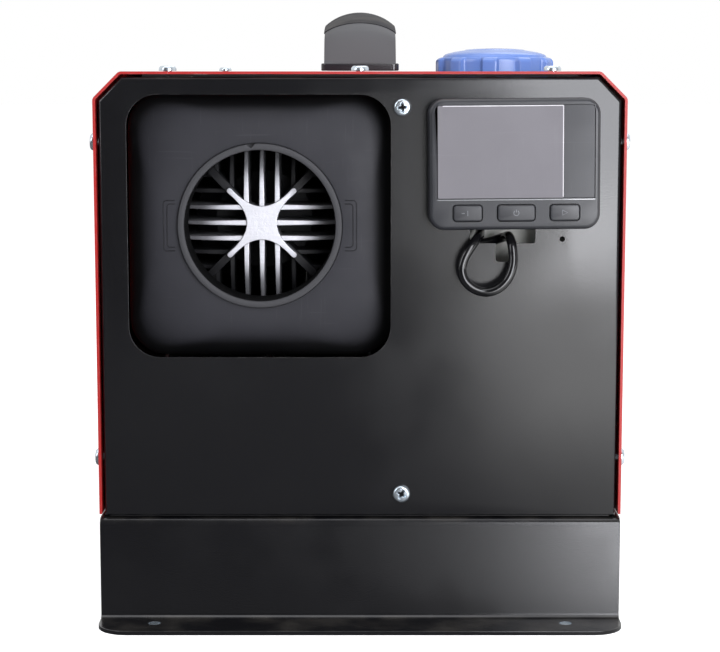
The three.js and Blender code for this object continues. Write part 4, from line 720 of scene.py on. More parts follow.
@dataclass(frozen=True)
class Moulded(Finish):
    """Moulded plastic with a fine eroded texture, slow mottling and light handling wear, and, where asked,
    painted shade on a rounded edge.

    Attributes:
        grain: Pits per metre.
        depth: How deep the texture is, in metres.
        spread: How far the roughness swings.
        sheen: Share of subsurface light, for a clouded plastic.
        handled: How scratched it is.
        specular: How strongly it reflects.
        dusty: How much dust lies on it.
        painted_shade_border: Y of the normal between which a rounded edge is painted darker as shade, or
            None.
    """

    grain: float = 1600.0
    depth: float = 0.03 * MM
    spread: float = 0.05
    sheen: float = 0.0
    handled: float = 0.2
    specular: float = 0.5
    dusty: float = 0.12
    painted_shade_border: Pair | None = None

    def dress(self, wiring: Wiring) -> None:
        """Wires the texture, mottling, scratches and dust, and the painted shade on a rounded edge.

        Args:
            wiring: The material's wiring.
        """
        moulding = MOULDING.put(wiring, scale=self.grain)
        rubbing = RUBBING.put(wiring, amount=self.handled)
        settled = DUST.put(wiring, amount=self.dusty)["Mask"]
        body = wiring.mix(moulding["Mottle"], darker(self.colour, 0.82), self.colour)
        scratched = wiring.mix(rubbing["Scratches"], body, paler(self.colour, 1.5, 0.02))
        coloured = wiring.mix(settled, scratched, DUST_ON_PLASTIC)
        # Painted shade: faces that turn away from the front are tinted darker, as if in shadow.
        if self.painted_shade_border:
            painted_edge_shade = wiring.ramp(wiring.facing("Y"), *self.painted_shade_border)
            coloured = wiring.mix(painted_edge_shade, coloured, darker(self.colour, 0.1))
        self.tint(wiring, coloured)
        self.gloss(wiring, rubbing["Smears"], self.spread)
        self.relief(wiring, moulding["Height"], self.depth)
        wiring.feed("Specular IOR Level", self.specular)
        wiring.feed("Subsurface Weight", self.sheen)
        wiring.feed("Subsurface Radius", grey(4 * MM))


@dataclass(frozen=True)
class Glossy(Finish):
    """Smooth glossy plastic or film, with faint waves, smears and hairlines.

    Attributes:
        waves: Height of its slow waves in metres.
        coat: Weight of the clear layer.
        specular: How strongly it reflects.
        rubbed: How scratched it is.
    """

    waves: float = 0.03 * MM
    coat: float = 0.3
    specular: float = 0.5
    rubbed: float = 0.35

    def dress(self, wiring: Wiring) -> None:
        """Wires the waves, smears and hairlines.

        Args:
            wiring: The material's wiring.
        """
        rubbing = RUBBING.put(wiring, amount=self.rubbed)
        base = wiring.mix(rubbing["Smears"], self.colour, darker(self.colour, 0.95))
        scratched = wiring.mix(rubbing["Scratches"], base, paler(self.colour, 1.3, 0.03))
        self.tint(wiring, scratched)
        self.gloss(wiring, rubbing["Smears"], 0.03)
        self.relief(wiring, wiring.noise(45.0, 1.0), self.waves)
        wiring.feed("Coat Weight", self.coat)
        wiring.feed("Specular IOR Level", self.specular)


@dataclass(frozen=True)
class Printed(Finish):
    """A thin printed or engraved mark with slightly uneven ink."""

    def dress(self, wiring: Wiring) -> None:
        """Wires the uneven ink.

        Args:
            wiring: The material's wiring.
        """
        ink = wiring.ramp(wiring.noise(2400.0, 3.0), 0.3, 0.6)
        self.tint(wiring, wiring.mix(ink, darker(self.colour, 0.7), self.colour))
        self.gloss(wiring, ink, 0.05)


@dataclass(frozen=True)
class Laminate(Finish):
    """A circuit board: green solder mask over copper tracks, with solder dots."""

    def dress(self, wiring: Wiring) -> None:
        """Wires the tracks and the solder dots.

        Args:
            wiring: The material's wiring.
        """
        bricks = wiring.add(
            "ShaderNodeTexBrick", {"offset": 0.37, "squash": 2.0},
            {"Vector": wiring.place(), "Scale": 90.0, "Mortar Size": 0.05,
             "Color1": opaque(grey(0.0)), "Color2": opaque(grey(0.1)), "Mortar": opaque(grey(1.0))},
        )
        pads = wiring.add("ShaderNodeTexVoronoi", None, {"Vector": wiring.place(), "Scale": 260.0})
        dots = wiring.ramp(pads.outputs["Distance"], 0.22, 0.16)
        tracked = wiring.mix(bricks.outputs["Fac"], self.colour, COPPER_TRACK)
        self.tint(wiring, wiring.mix(dots, tracked, SOLDER))
        self.gloss(wiring, dots, 0.1)
        self.relief(wiring, dots, 0.2 * MM)


RED_PAINT = PowderCoat(
    "red_powder_coat", "red_paint", paint(164, 30, 28), 0.4,
    shade=paint(146, 24, 22), specular=0.4, wear=0.2,
)
BLACK_PAINT = PowderCoat(
    "black_powder_coat", "black_paint", paint(20, 20, 22), 0.17,
    shade=paint(13, 13, 15), specular=0.52, wear=0.12,
)
GALVANISED = Galvanised("galvanised_sheet", "galvanised_sheet", paint(186, 190, 194), 0.42)
ZINC = Galvanised(
    "zinc_plated_screw", "zinc_screw", paint(206, 216, 224), 0.24, spangle=260.0, contrast=0.08
)
# Painted light: the exchanger's boss and long fins are tinted bright, as lit through the outlet.
PAINTED_LIGHT_CASTING = Casting(
    "exchanger_nose", "cast_aluminium", paint(120, 120, 124), 0.5,
    axis=(OUTLET_X, OUTLET_Z), bright=paint(214, 214, 220),
)
# Painted shade: the rest of the same casting is tinted dark, as the shadowed depth behind the outlet.
PAINTED_SHADE_CASTING = Casting("exchanger_body", "cast_aluminium", paint(32, 32, 35), 0.6)
CAST_SKIN = Casting("cast_aluminium", "cast_aluminium", paint(168, 170, 172), 0.5)
STEEL = Turned("turned_steel", "steel", paint(172, 174, 176), 0.32)
DARK_PLASTIC = Moulded(
    "black_plastic", "black_plastic", paint(46, 46, 50), 0.46, depth=0.02 * MM, specular=0.4
)
# The hood's rounded edge, where it turns back from the front, is painted darker as shade.
HOOD_PLASTIC = Moulded(
    "hood_plastic", "black_plastic", paint(42, 42, 47), 0.55,
    depth=0.012 * MM, specular=0.25, painted_shade_border=(-0.999, -0.86),
)
GREY_PLASTIC = Moulded("grey_plastic", "grey_plastic", paint(72, 71, 76), 0.5, specular=0.3)
FOOT_PLASTIC = Moulded(
    "foot_plastic", "grey_plastic", paint(38, 38, 42), 0.18, depth=0.01 * MM, specular=0.6
)
# Painted shade: a shell over the grip's upper band, darker than the grip, so that the top-lit band looks
# shaded.
TOP_SHADE_PLASTIC = Moulded("handle_top_shade_plastic", "grey_plastic", paint(34, 33, 37), 0.6, specular=0.1)
BLUE_PLASTIC = Moulded(
    "blue_plastic", "blue_plastic", paint(54, 92, 128), 0.5,
    grain=900.0, depth=0.01 * MM, sheen=0.12, handled=0.3, specular=0.05,
)
MILKY_PLASTIC = Moulded(
    "milky_plastic", "milky_plastic", paint(206, 206, 198), 0.45, grain=500.0, sheen=0.4, handled=0.3
)
BEZEL_PLASTIC = Moulded(
    "bezel_plastic", "gloss_plastic", paint(39, 40, 44), 0.36, depth=0.008 * MM, specular=0.45
)
# Painted highlight: a pale glossy bar under the display window, lighter than the bezel, stands for the
# bright line at the pocket's lower edge.
HIGHLIGHT_TRIM_PLASTIC = Glossy("highlight_trim_plastic", "gloss_plastic", paint(96, 98, 102), 0.14, coat=0.8, specular=0.8)
RUBBER = Moulded("rubber", "rubber", paint(24, 24, 26), 0.6, grain=1100.0, dusty=0.2)
CORD_SKIN = Moulded(
    "cord_skin", "rubber", paint(12, 12, 14), 0.15, grain=700.0, depth=0.01 * MM, dusty=0.02
)
# Painted shade: a near-black finish for sheets laid where there is only shadow.
SHADED = Moulded("shaded_recess", "rubber", paint(6, 6, 7), 0.8, grain=700.0, dusty=0.0, specular=0.1)
WINDOW = Glossy(
    "display_window", "gloss_plastic", paint(34, 35, 40), 0.2,
    waves=0.01 * MM, coat=0.0, specular=0.3, rubbed=0.12,
)
FILM = Glossy(
    "protective_film", "clear_film", paint(112, 110, 114), 0.6,
    waves=0.04 * MM, coat=0.0, specular=0.1, rubbed=0.08,
)
# Painted highlight: the film's curled edge is near white, standing for the glint along it.
FILM_EDGE_GLINT = Glossy("film_edge_glint", "clear_film", paint(214, 212, 216), 0.25, waves=0.02 * MM, coat=0.4)
INK = Printed("button_print", "gloss_plastic", paint(104, 106, 110), 0.5)
BOARD = Laminate("circuit_board", "circuit_board", paint(26, 74, 44), 0.4)


# ---- meshes ----


def rounded(width: float, height: float, corner: float, steps: int = 8) -> Outline:
    """Draws a rectangle with round corners about the origin.

    Args:
        width: Its width.
        height: Its height.
        corner: Corner radius.
        steps: Steps in each corner.

    Returns:
        The outline's points, anticlockwise.
    """
    points = []
    for quarter, (side, up) in enumerate(((1, -1), (1, 1), (-1, 1), (-1, -1))):
        u, v = side * (width / 2 - corner), up * (height / 2 - corner)
        for step in range(steps + 1):
            angle = math.radians(90 * (quarter - 1 + step / steps))
            points.append((u + corner * math.cos(angle), v + corner * math.sin(angle)))
    return points


def circle(radius: float, sides: int) -> Outline:
    """Draws a circle about the origin.

    Args:
        radius: Its radius.
        sides: How many points it has.

    Returns:
        The points, evenly spaced.
    """
    turn = 2 * math.pi / sides
    return [(radius * math.cos(i * turn), radius * math.sin(i * turn)) for i in range(sides)]


def quarter_round(across: float, under: float, steps: int) -> list[Pair]:
    """Steps round a quarter of an ellipse from a side to a face.

    Args:
        across: How far the edge draws in altogether.
        under: How far under the face it begins.
        steps: Steps of the rounding.

    Returns:
        For each step, how far it is drawn in and how far it lies under the face.
    """
    turns = [math.pi / 2 * step / steps for step in range(steps + 1)]
    return [(across * (1 - math.cos(turn)), under * (1 - math.sin(turn))) for turn in turns]


def upright(outline: Iterable[Pair], y: float, x: float = 0.0, z: float = 0.0) -> Ring:
    """Stands an outline drawn in (x, z) up at one depth.

    Args:
        outline: Points drawn about the origin.
        y: Depth.
        x: Where its middle is.
        z: Where its middle is.

    Returns:
        The ring in space.
    """
    return [Vector((x + u, y, z + v)) for u, v in outline]


def level(outline: Iterable[Pair], z: float, x: float = 0.0, y: float = 0.0) -> Ring:
    """Lays an outline drawn in (x, y) flat at one height.

    Args:
        outline: Points drawn about the origin.
        z: Height.
        x: Where its middle is.
        y: Where its middle is.

    Returns:
        The ring in space.
    """
    return [Vector((x + u, y + v, z)) for u, v in outline]


def skin(bm: Mesh, rings: Sequence[Ring], looped: bool = False) -> list[list[bmesh.types.BMVert]]:
    """Spans rings of equally many points with faces.

    Args:
        bm: The mesh.
        rings: The rings in order.
        looped: True if the last ring joins the first.

    Returns:
        The rings' vertices.
    """
    rows = [[bm.verts.new(point) for point in ring] for ring in rings]
    pairs = list(zip(rows, rows[1:]))
    if looped:
        pairs.append((rows[-1], rows[0]))
    for low, high in pairs:
        for i in range(len(low)):
            j = (i + 1) % len(low)
            bm.faces.new((low[i], low[j], high[j], high[i]))
    return rows


def cover(bm: Mesh, loops: Sequence[Sequence[bmesh.types.BMVert]]) -> None:
    """Fills the flat region between loops of vertices.

    Args:
        bm: The mesh.
        loops: The outer loop and the loops of its holes.
    """
    if len(loops) == 1:
        bm.faces.new(loops[0])
        return
    edges = []
    for loop in loops:
        for i, vertex in enumerate(loop):
            edges.append(bm.edges.get((vertex, loop[(i + 1) % len(loop)])))
    bmesh.ops.triangle_fill(bm, use_beauty=True, use_dissolve=False, edges=edges)


def pierced(outer: Sequence[Ring], holes: Sequence[Sequence[Ring]] = ()) -> Mesh:
    """Makes a closed body between two flat ends, with holes through it.

    Args:
        outer: Rings of the outside, from one end to the other.
        holes: For each hole, its rings from the same end to the other.

    Returns:
        The mesh.
    """
    bm = bmesh.new()
    walls = [skin(bm, rings) for rings in (outer, *holes)]
    for end in (0, -1):
        cover(bm, [wall[end] for wall in walls])
    return bm


def wound(rings: Sequence[Ring]) -> Mesh:
    """Makes a closed body from rings that run round and meet again.

    Args:
        rings: The rings in order.

    Returns:
        The mesh.
    """
    bm = bmesh.new()
    skin(bm, rings, looped=True)
    return bm


def turned(profile: Sequence[Pair], sides: int) -> Mesh:
    """Turns a profile of (radius, height) about +Z.

    Args:
        profile: Points from one end to the other.
        sides: Sides of the turned body.

    Returns:
        The mesh.
    """
    return pierced([level(circle(radius, sides), height) for radius, height in profile])


def placed(bm: Mesh, matrix: Matrix) -> Mesh:
    """Moves a mesh and gives it back.

    Args:
        bm: The mesh.
        matrix: Where it goes.

    Returns:
        The same mesh.
    """
    bmesh.ops.transform(bm, matrix=matrix, verts=bm.verts)
    return bm


def merged(parts: Iterable[Mesh]) -> Mesh:
    """Puts several meshes into one.

    Args:
        parts: The meshes; they are freed.

    Returns:
        The joined mesh.
    """
    whole = bmesh.new()
    for part in parts:
        copy = bpy.data.meshes.new("part")
        part.to_mesh(copy)
        part.free()
        whole.from_mesh(copy)
        bpy.data.meshes.remove(copy)
    return whole


TURNED_TO_FRONT = Matrix.Rotation(math.radians(90), 4, "X")


class Workshop:
    """Turns meshes into finished pieces that ride on the model's bodies."""

    def __init__(self) -> None:
        """Starts with no pieces."""
        self.made: list[bpy.types.Object] = []

    def piece(
        self, name: str, bm: Mesh, finish: Finish, body: str = "case",
        replaces: Sequence[str] = (), bevel: float = 0.0, segments: int = 2,
    ) -> None:
        """Makes one piece.

        Args:
            name: The piece's name.
            bm: Its mesh, which is freed.
            finish: Its finish.
            body: The body that it rides on.
            replaces: CAD nodes that it stands for.
            bevel: Width of the rounding along its edges, or 0 for none.
            segments: Steps of that rounding.
        """
        bmesh.ops.recalc_face_normals(bm, faces=bm.faces)
        mesh = bpy.data.meshes.new(name)
        bm.to_mesh(mesh)
        bm.free()
        mesh.materials.append(finish.material())
        mesh.shade_smooth()
        thing = bpy.data.objects.new(name, mesh)
        bpy.context.scene.collection.objects.link(thing)
        if bevel:
            self.round_edges(thing, bevel, segments)
        else:
            mesh.set_sharp_from_angle(angle=math.radians(SHARP_ANGLE))
        self.fit(thing, body, replaces)

    def fit(
        self, thing: bpy.types.Object, body: str, replaces: Sequence[str]
    ) -> None:
        """Hangs a finished object on its body.

        Args:
            thing: The object.
            body: The body that it rides on.
            replaces: CAD nodes that it stands for.
        """
        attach(thing, body)
        if replaces:
            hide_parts(*replaces)
        self.made.append(thing)
        log.info("%s rides on %s", thing.name, body)

    @staticmethod
    def round_edges(thing: bpy.types.Object, width: float, segments: int) -> None:
        """Rounds an object's sharp edges.

        Args:
            thing: The object.
            width: Width of the rounding.
            segments: Its steps.
        """
        bevel = thing.modifiers.new("rounding", "BEVEL")
        bevel.width = width
        bevel.segments = segments
        bevel.limit_method = "ANGLE"
        bevel.angle_limit = math.radians(SHARP_ANGLE)
        bevel.harden_normals = True
        bevel.miter_outer = "MITER_ARC"

    def node(self, name: str, finish: Finish, bevel: float) -> None:
        """Gives a CAD node its finish and soft edges.

        Args:
            name: The node's name.
            finish: Its finish.
            bevel: Width of the rounding along its edges, or 0 for none.
        """
        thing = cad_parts[name]
        thing.data.materials.clear()
        thing.data.materials.append(finish.material())
        weld = thing.modifiers.new("weld", "WELD")
        weld.merge_threshold = WELD_REACH
        if bevel:
            flat = thing.modifiers.new("flats", "DECIMATE")
            flat.decimate_type = "DISSOLVE"
            flat.angle_limit = math.radians(FLAT_ANGLE)
        smooth = thing.modifiers.new("smooth", "NODES")
        smooth.node_group = self.smoothing()
        if bevel:
            self.round_edges(thing, bevel, 2)
        log.info("%s is %s", name, finish.name)

    @staticmethod
    def smoothing() -> bpy.types.NodeTree:
        """Finds or builds the geometry nodes that shade smooth across shallow edges.

        Returns:
            The node group.
        """
        found = bpy.data.node_groups.get("smooth_by_angle")
        if found:
            return found
        tree = bpy.data.node_groups.new("smooth_by_angle", "GeometryNodeTree")
        for way in ("INPUT", "OUTPUT"):
            tree.interface.new_socket("Geometry", in_out=way, socket_type="NodeSocketGeometry")
        wiring = Wiring(tree)
        given = wiring.add("NodeGroupInput").outputs["Geometry"]
        bare = wiring.add("GeometryNodeRemoveAttribute", None, {"Geometry": given, "Name": "custom_normal"})
        angle = wiring.add("GeometryNodeInputMeshEdgeAngle").outputs["Unsigned Angle"]
        sharp = wiring.math(Step.GREATER, angle, math.radians(SMOOTH_ANGLE))
        faces = wiring.add(
            "GeometryNodeSetShadeSmooth", {"domain": "FACE"},
            {"Geometry": bare.outputs["Geometry"], "Shade Smooth": True},
        )
        shallow = wiring.add("FunctionNodeBooleanMath", {"operation": "NOT"}, {0: sharp}).outputs[0]
        edges = wiring.add(
            "GeometryNodeSetShadeSmooth", {"domain": "EDGE"},
            {"Geometry": faces.outputs["Geometry"], "Shade Smooth": shallow},
        )
        wiring.add("NodeGroupOutput", None, {0: edges.outputs["Geometry"]})
        return tree


workshop = Workshop()


# ---- studio ----


@dataclass(frozen=True)
class Softbox:
    """One rectangular area light.

    Attributes:
        name: Its name.
        at: Where it hangs.
        towards: The point that it faces.
        size: Its width and height.
        power: Its power in watts.
        diffuse: Share of its light that falls on matt surfaces.
    """

    name: str
    at: Triple
    towards: Triple
    size: Pair
    power: float
    diffuse: float = 1.0

    def hang(self, tone: Colour) -> None:
        """Adds the light to the scene.

        Args:
            tone: Its colour.
        """
        data = bpy.data.lights.new(self.name, "AREA")
        data.shape = "RECTANGLE"
        data.size, data.size_y = self.size
        data.energy = self.power
        data.diffuse_factor = self.diffuse
        data.color = tone
        lamp = bpy.data.objects.new(self.name, data)
        lamp.location = self.at
        aim = Vector(self.towards) - Vector(self.at)
        lamp.rotation_euler = aim.to_track_quat("-Z", "Y").to_euler()
        bpy.context.scene.collection.objects.link(lamp)


@dataclass
class Studio:
    """Pale floor, soft lights and the camera at the photograph's angle.

    Attributes:
        camera_pitch: The camera's tilt in degrees; 90 looks level.
        softboxes: A tall one right of the camera, and soft fills left, above and behind.
        floor_shades: The two greys that the floor's clouds run between.
        floor_mirrored: The grey that glossy surfaces see in its place.
        floor_lift: What the camera sees on it besides, so that it comes out white.
        pool: X between which a bright pool begins, which only glossy surfaces see.
        pool_front: Y between which the pool reaches its full strength.
        pool_least: Share of its strength behind that.
        world_strength: Strength of the background as light.
        horizon: Y of the direction between which the mirrored background brightens.
        front_gleam: How bright it is in front.
    """

    camera_at: Triple = (0.0, -1.0756, 0.253)
    camera_pitch: float = 82.53
    lens: float = 97.1
    sensor: float = 36.0
    farthest: float = 60.0
    softboxes: tuple[Softbox, ...] = (
        Softbox("softbox_right", (0.64, -1.4, 0.6), (0.64, -0.2, 0.6), (0.84, 1.2), 28.0, 0.28),
        Softbox("softbox_left", (-1.3, -0.9, 0.9), (-0.05, -0.2, 0.2), (0.5, 0.9), 6.0),
        Softbox("softbox_top", (-0.1, -0.3, 1.9), (0.0, 0.0, 0.1), (1.6, 1.6), 13.0),
        Softbox("softbox_back", (0.6, 1.5, 1.9), (0.0, 0.1, 0.1), (1.2, 1.0), 7.0),
    )
    tone: Colour = (0.94, 0.95, 1.0)
    floor_radius: float = 14.0
    floor_sides: int = 64
    floor_shades: tuple[Colour, Colour] = (grey(0.8), grey(0.82))
    floor_mirrored: Colour = grey(0.13)
    floor_lift: float = 0.62
    pool: Pair = (0.06, 0.18)
    pool_front: Pair = (-0.3, -0.6)
    pool_least: float = 0.35
    pool_gleam: float = 3.0
    world_strength: float = 0.5
    horizon: Pair = (-0.75, 0.1)
    front_gleam: float = 0.08

    def build(self) -> None:
        """Sets up the camera, lights, floor and background."""
        self.camera()
        for softbox in self.softboxes:
            softbox.hang(self.tone)
        self.floor()
        self.background()
        bpy.context.scene.view_settings.view_transform = "Standard"
        log.info("studio is set")

    def camera(self) -> None:
        """Places the camera."""
        data = bpy.data.cameras.new("camera")
        data.lens = self.lens
        data.sensor_width = self.sensor
        data.sensor_fit = "HORIZONTAL"
        data.clip_end = self.farthest
        camera = bpy.data.objects.new("camera", data)
        camera.location = self.camera_at
        camera.rotation_euler = (math.radians(self.camera_pitch), 0.0, 0.0)
        bpy.context.scene.collection.objects.link(camera)
        bpy.context.scene.camera = camera

    def floor(self) -> None:
        """Lays the floor and gives it its material."""
        bm = bmesh.new()
        outline = circle(self.floor_radius, self.floor_sides)
        bm.faces.new([bm.verts.new((u, v, 0.0)) for u, v in outline])
        mesh = bpy.data.meshes.new("floor")
        bm.to_mesh(mesh)
        bm.free()
        floor = bpy.data.objects.new("floor", mesh)
        bpy.context.scene.collection.objects.link(floor)
        mesh.materials.append(self.floor_material())

    def floor_material(self) -> bpy.types.Material:
        """Makes the floor's material, which looks white and keeps the shadow.

        Returns:
            The material.
        """
        material = bpy.data.materials.new("pale_floor")
        material.use_nodes = True
        wiring = Wiring(material.node_tree)
        cloudy = wiring.ramp(wiring.noise(1.5, 2.0), 0.3, 0.7)
        pale = wiring.mix(cloudy, *self.floor_shades)
        wiring.feed("Roughness", 0.9)
        wiring.feed("Specular IOR Level", 0.1)
        path = wiring.add("ShaderNodeLightPath").outputs
        shown = wiring.mix(path["Is Glossy Ray"], pale, self.floor_mirrored)
        wiring.feed("Base Color", shown)
        place = wiring.add("ShaderNodeSeparateXYZ", None, {0: wiring.place()}).outputs
        reach = wiring.math(
            Step.MULTIPLY, wiring.ramp(place["X"], *self.pool, 0.0, self.pool_gleam),
            wiring.ramp(place["Y"], *self.pool_front, self.pool_least, 1.0),
        )
        pool = wiring.math(Step.MULTIPLY, path["Is Glossy Ray"], reach)
        seen = wiring.math(Step.MULTIPLY, path["Is Camera Ray"], self.floor_lift)
        wiring.feed("Emission Color", opaque(grey(1.0)))
        wiring.feed("Emission Strength", wiring.math(Step.ADD, seen, pool))
        return material

    def background(self) -> None:
        """Makes the world white where it is seen or mirrored, and soft where it lights."""
        world = bpy.data.worlds.new("studio")
        bpy.context.scene.world = world
        world.use_nodes = True
        wiring = Wiring(world.node_tree)
        light = world.node_tree.nodes["Background"]
        path = wiring.add("ShaderNodeLightPath").outputs
        direction = wiring.add("ShaderNodeTexCoord").outputs["Generated"]
        towards = wiring.add("ShaderNodeSeparateXYZ", None, {0: direction}).outputs["Y"]
        behind = wiring.ramp(towards, *self.horizon, self.front_gleam, 1.0)
        mirrored = wiring.math(Step.MAXIMUM, path["Is Glossy Ray"], path["Is Transmission Ray"])
        gleam = wiring.math(Step.MULTIPLY, mirrored, behind)
        shown = wiring.math(Step.MAXIMUM, path["Is Camera Ray"], gleam)
        matt = wiring.math(Step.SUBTRACT, 1.0, mirrored)
        least = wiring.math(Step.MULTIPLY, matt, self.world_strength)
        wiring.tree.links.new(wiring.math(Step.MAXIMUM, shown, least), light.inputs["Strength"])
        light.inputs["Color"].default_value = opaque(grey(1.0))


# ---- shared curves ----


def spline(points: Sequence[Vector], steps: int) -> list[Vector]:
    """Follows points on a smooth centripetal curve.

    Args:
        points: The points that the curve runs through.
        steps: Steps from each point to the next.

    Returns:
        Points along the curve.
    """
    chain = [points[0] * 2 - points[1], *points, points[-1] * 2 - points[-2]]
    line = []
    for i in range(len(points) - 1):
        span = chain[i:i + 4]
        knots = [0.0]
        for near, far in zip(span, span[1:]):
            knots.append(knots[-1] + math.sqrt((far - near).length))
        for step in range(steps):
            t = knots[1] + (knots[2] - knots[1]) * step / steps
            row = list(span)
            for reach in (1, 2, 3):
                row = [
                    a.lerp(b, (t - knots[j]) / (knots[j + reach] - knots[j]))
                    for j, (a, b) in enumerate(zip(row, row[1:]))
                ]
            line.append(row[0])
    return [*line, points[-1].copy()]


def spaced(line: Sequence[Vector], count: int) -> list[Vector]:
    """Picks evenly spaced points along a line.

    Args:
        line: The line.
        count: How many points.

    Returns:
        The points, ends included.
    """
    lengths = [0.0]
    for a, b in zip(line, line[1:]):
        lengths.append(lengths[-1] + (b - a).length)
    picked = []
    at = 0
    for i in range(count):
        goal = lengths[-1] * i / (count - 1)
        while at < len(line) - 2 and lengths[at + 1] < goal:
            at += 1
        span = lengths[at + 1] - lengths[at]
        picked.append(line[at].lerp(line[at + 1], min(1.0, (goal - lengths[at]) / span)))
    return picked


def bead(line: Sequence[Vector], radius: float) -> Mesh:
    """Runs a thin round bead along a line.

    Args:
        line: Its centreline.
        radius: Its radius.

    Returns:
        The mesh.
    """
    rings = []
    for i, point in enumerate(line):
        heading = line[min(i + 1, len(line) - 1)] - line[max(i - 1, 0)]
        across = heading.cross(Vector((0.0, 1.0, 0.0))).normalized()
        over = across.cross(heading).normalized()
        rings.append([point + across * u + over * v for u, v in circle(radius, BEAD_SIDES)])
    return pierced(rings)


def squircle(half: float, corner: float, angle: float) -> float:
    """Measures from the middle of a square with round corners out to its edge.

    Args:
        half: Half of its width.
        corner: Corner radius; as large as the half, it makes a circle.
        angle: Direction in radians.

    Returns:
        The distance.
    """
    flat = half - corner
    across, along = abs(math.cos(angle)), abs(math.sin(angle))
    side = half / max(across, along)
    if side * min(across, along) <= flat:
        return side
    projected = flat * (across + along)
    return projected + math.sqrt(max(projected ** 2 - 2 * flat ** 2 + corner ** 2, 0.0))


# ---- display lead ----


@dataclass
class DisplayLead:
    """The display's round cord: out of its back, down in one loop and in through the slot.

    Attributes:
        diameter: Its diameter.
        route: Points that it runs through, in millimetres.
        steps: Steps from each point to the next.
        resolution: How finely its section is rounded.
    """

    diameter: float = 4.2 * MM
    route: tuple[Triple, ...] = (
        (55.0, -199.7, 196.2), (55.0, -197.6, 196.2), (55.0, -193.4, 195.1), (55.0, -190.3, 192.0),
        (55.0, -189.2, 187.8), (54.8, -190.3, 183.6), (54.6, -193.4, 180.5), (54.3, -197.6, 179.4),
        (53.8, -199.6, 179.4), (52.6, -203.8, 178.3), (50.2, -206.9, 175.2), (47.4, -208.2, 171.0),
        (45.7, -208.8, 165.4), (47.0, -209.2, 160.0), (50.9, -209.4, 156.3), (56.6, -209.4, 154.7),
        (62.4, -209.2, 156.5), (66.6, -208.6, 161.0), (68.6, -207.6, 166.6), (68.8, -206.5, 171.0),
        (68.4, -205.3, 175.2), (67.7, -202.2, 178.3), (67.0, -198.1, 179.2), (65.9, -193.9, 178.4),
        (62.8, -190.8, 177.0), (58.6, -189.6, 175.6), (50.0, -189.4, 174.6), (42.0, -189.4, 174.4),
        (34.0, -189.4, 174.4), (27.8, -189.4, 174.4),
    )
    steps: int = 6
    resolution: int = 6

    def build(self) -> None:
        line = spline([Vector(point) * MM for point in self.route], self.steps)
        data = bpy.data.curves.new("display_cord", "CURVE")
        data.dimensions = "3D"
        data.bevel_depth = self.diameter / 2
        data.bevel_resolution = self.resolution
        data.use_fill_caps = True
        strand = data.splines.new("POLY")
        strand.points.add(len(line) - 1)
        for point, at in zip(strand.points, line):
            point.co = (*at, 1.0)
        strand.use_smooth = True
        data.materials.append(CORD_SKIN.material())
        cord = bpy.data.objects.new("display_cord", data)
        bpy.context.scene.collection.objects.link(cord)
        workshop.fit(cord, "case", ("display_lead",))


# ---- hot air outlet ----


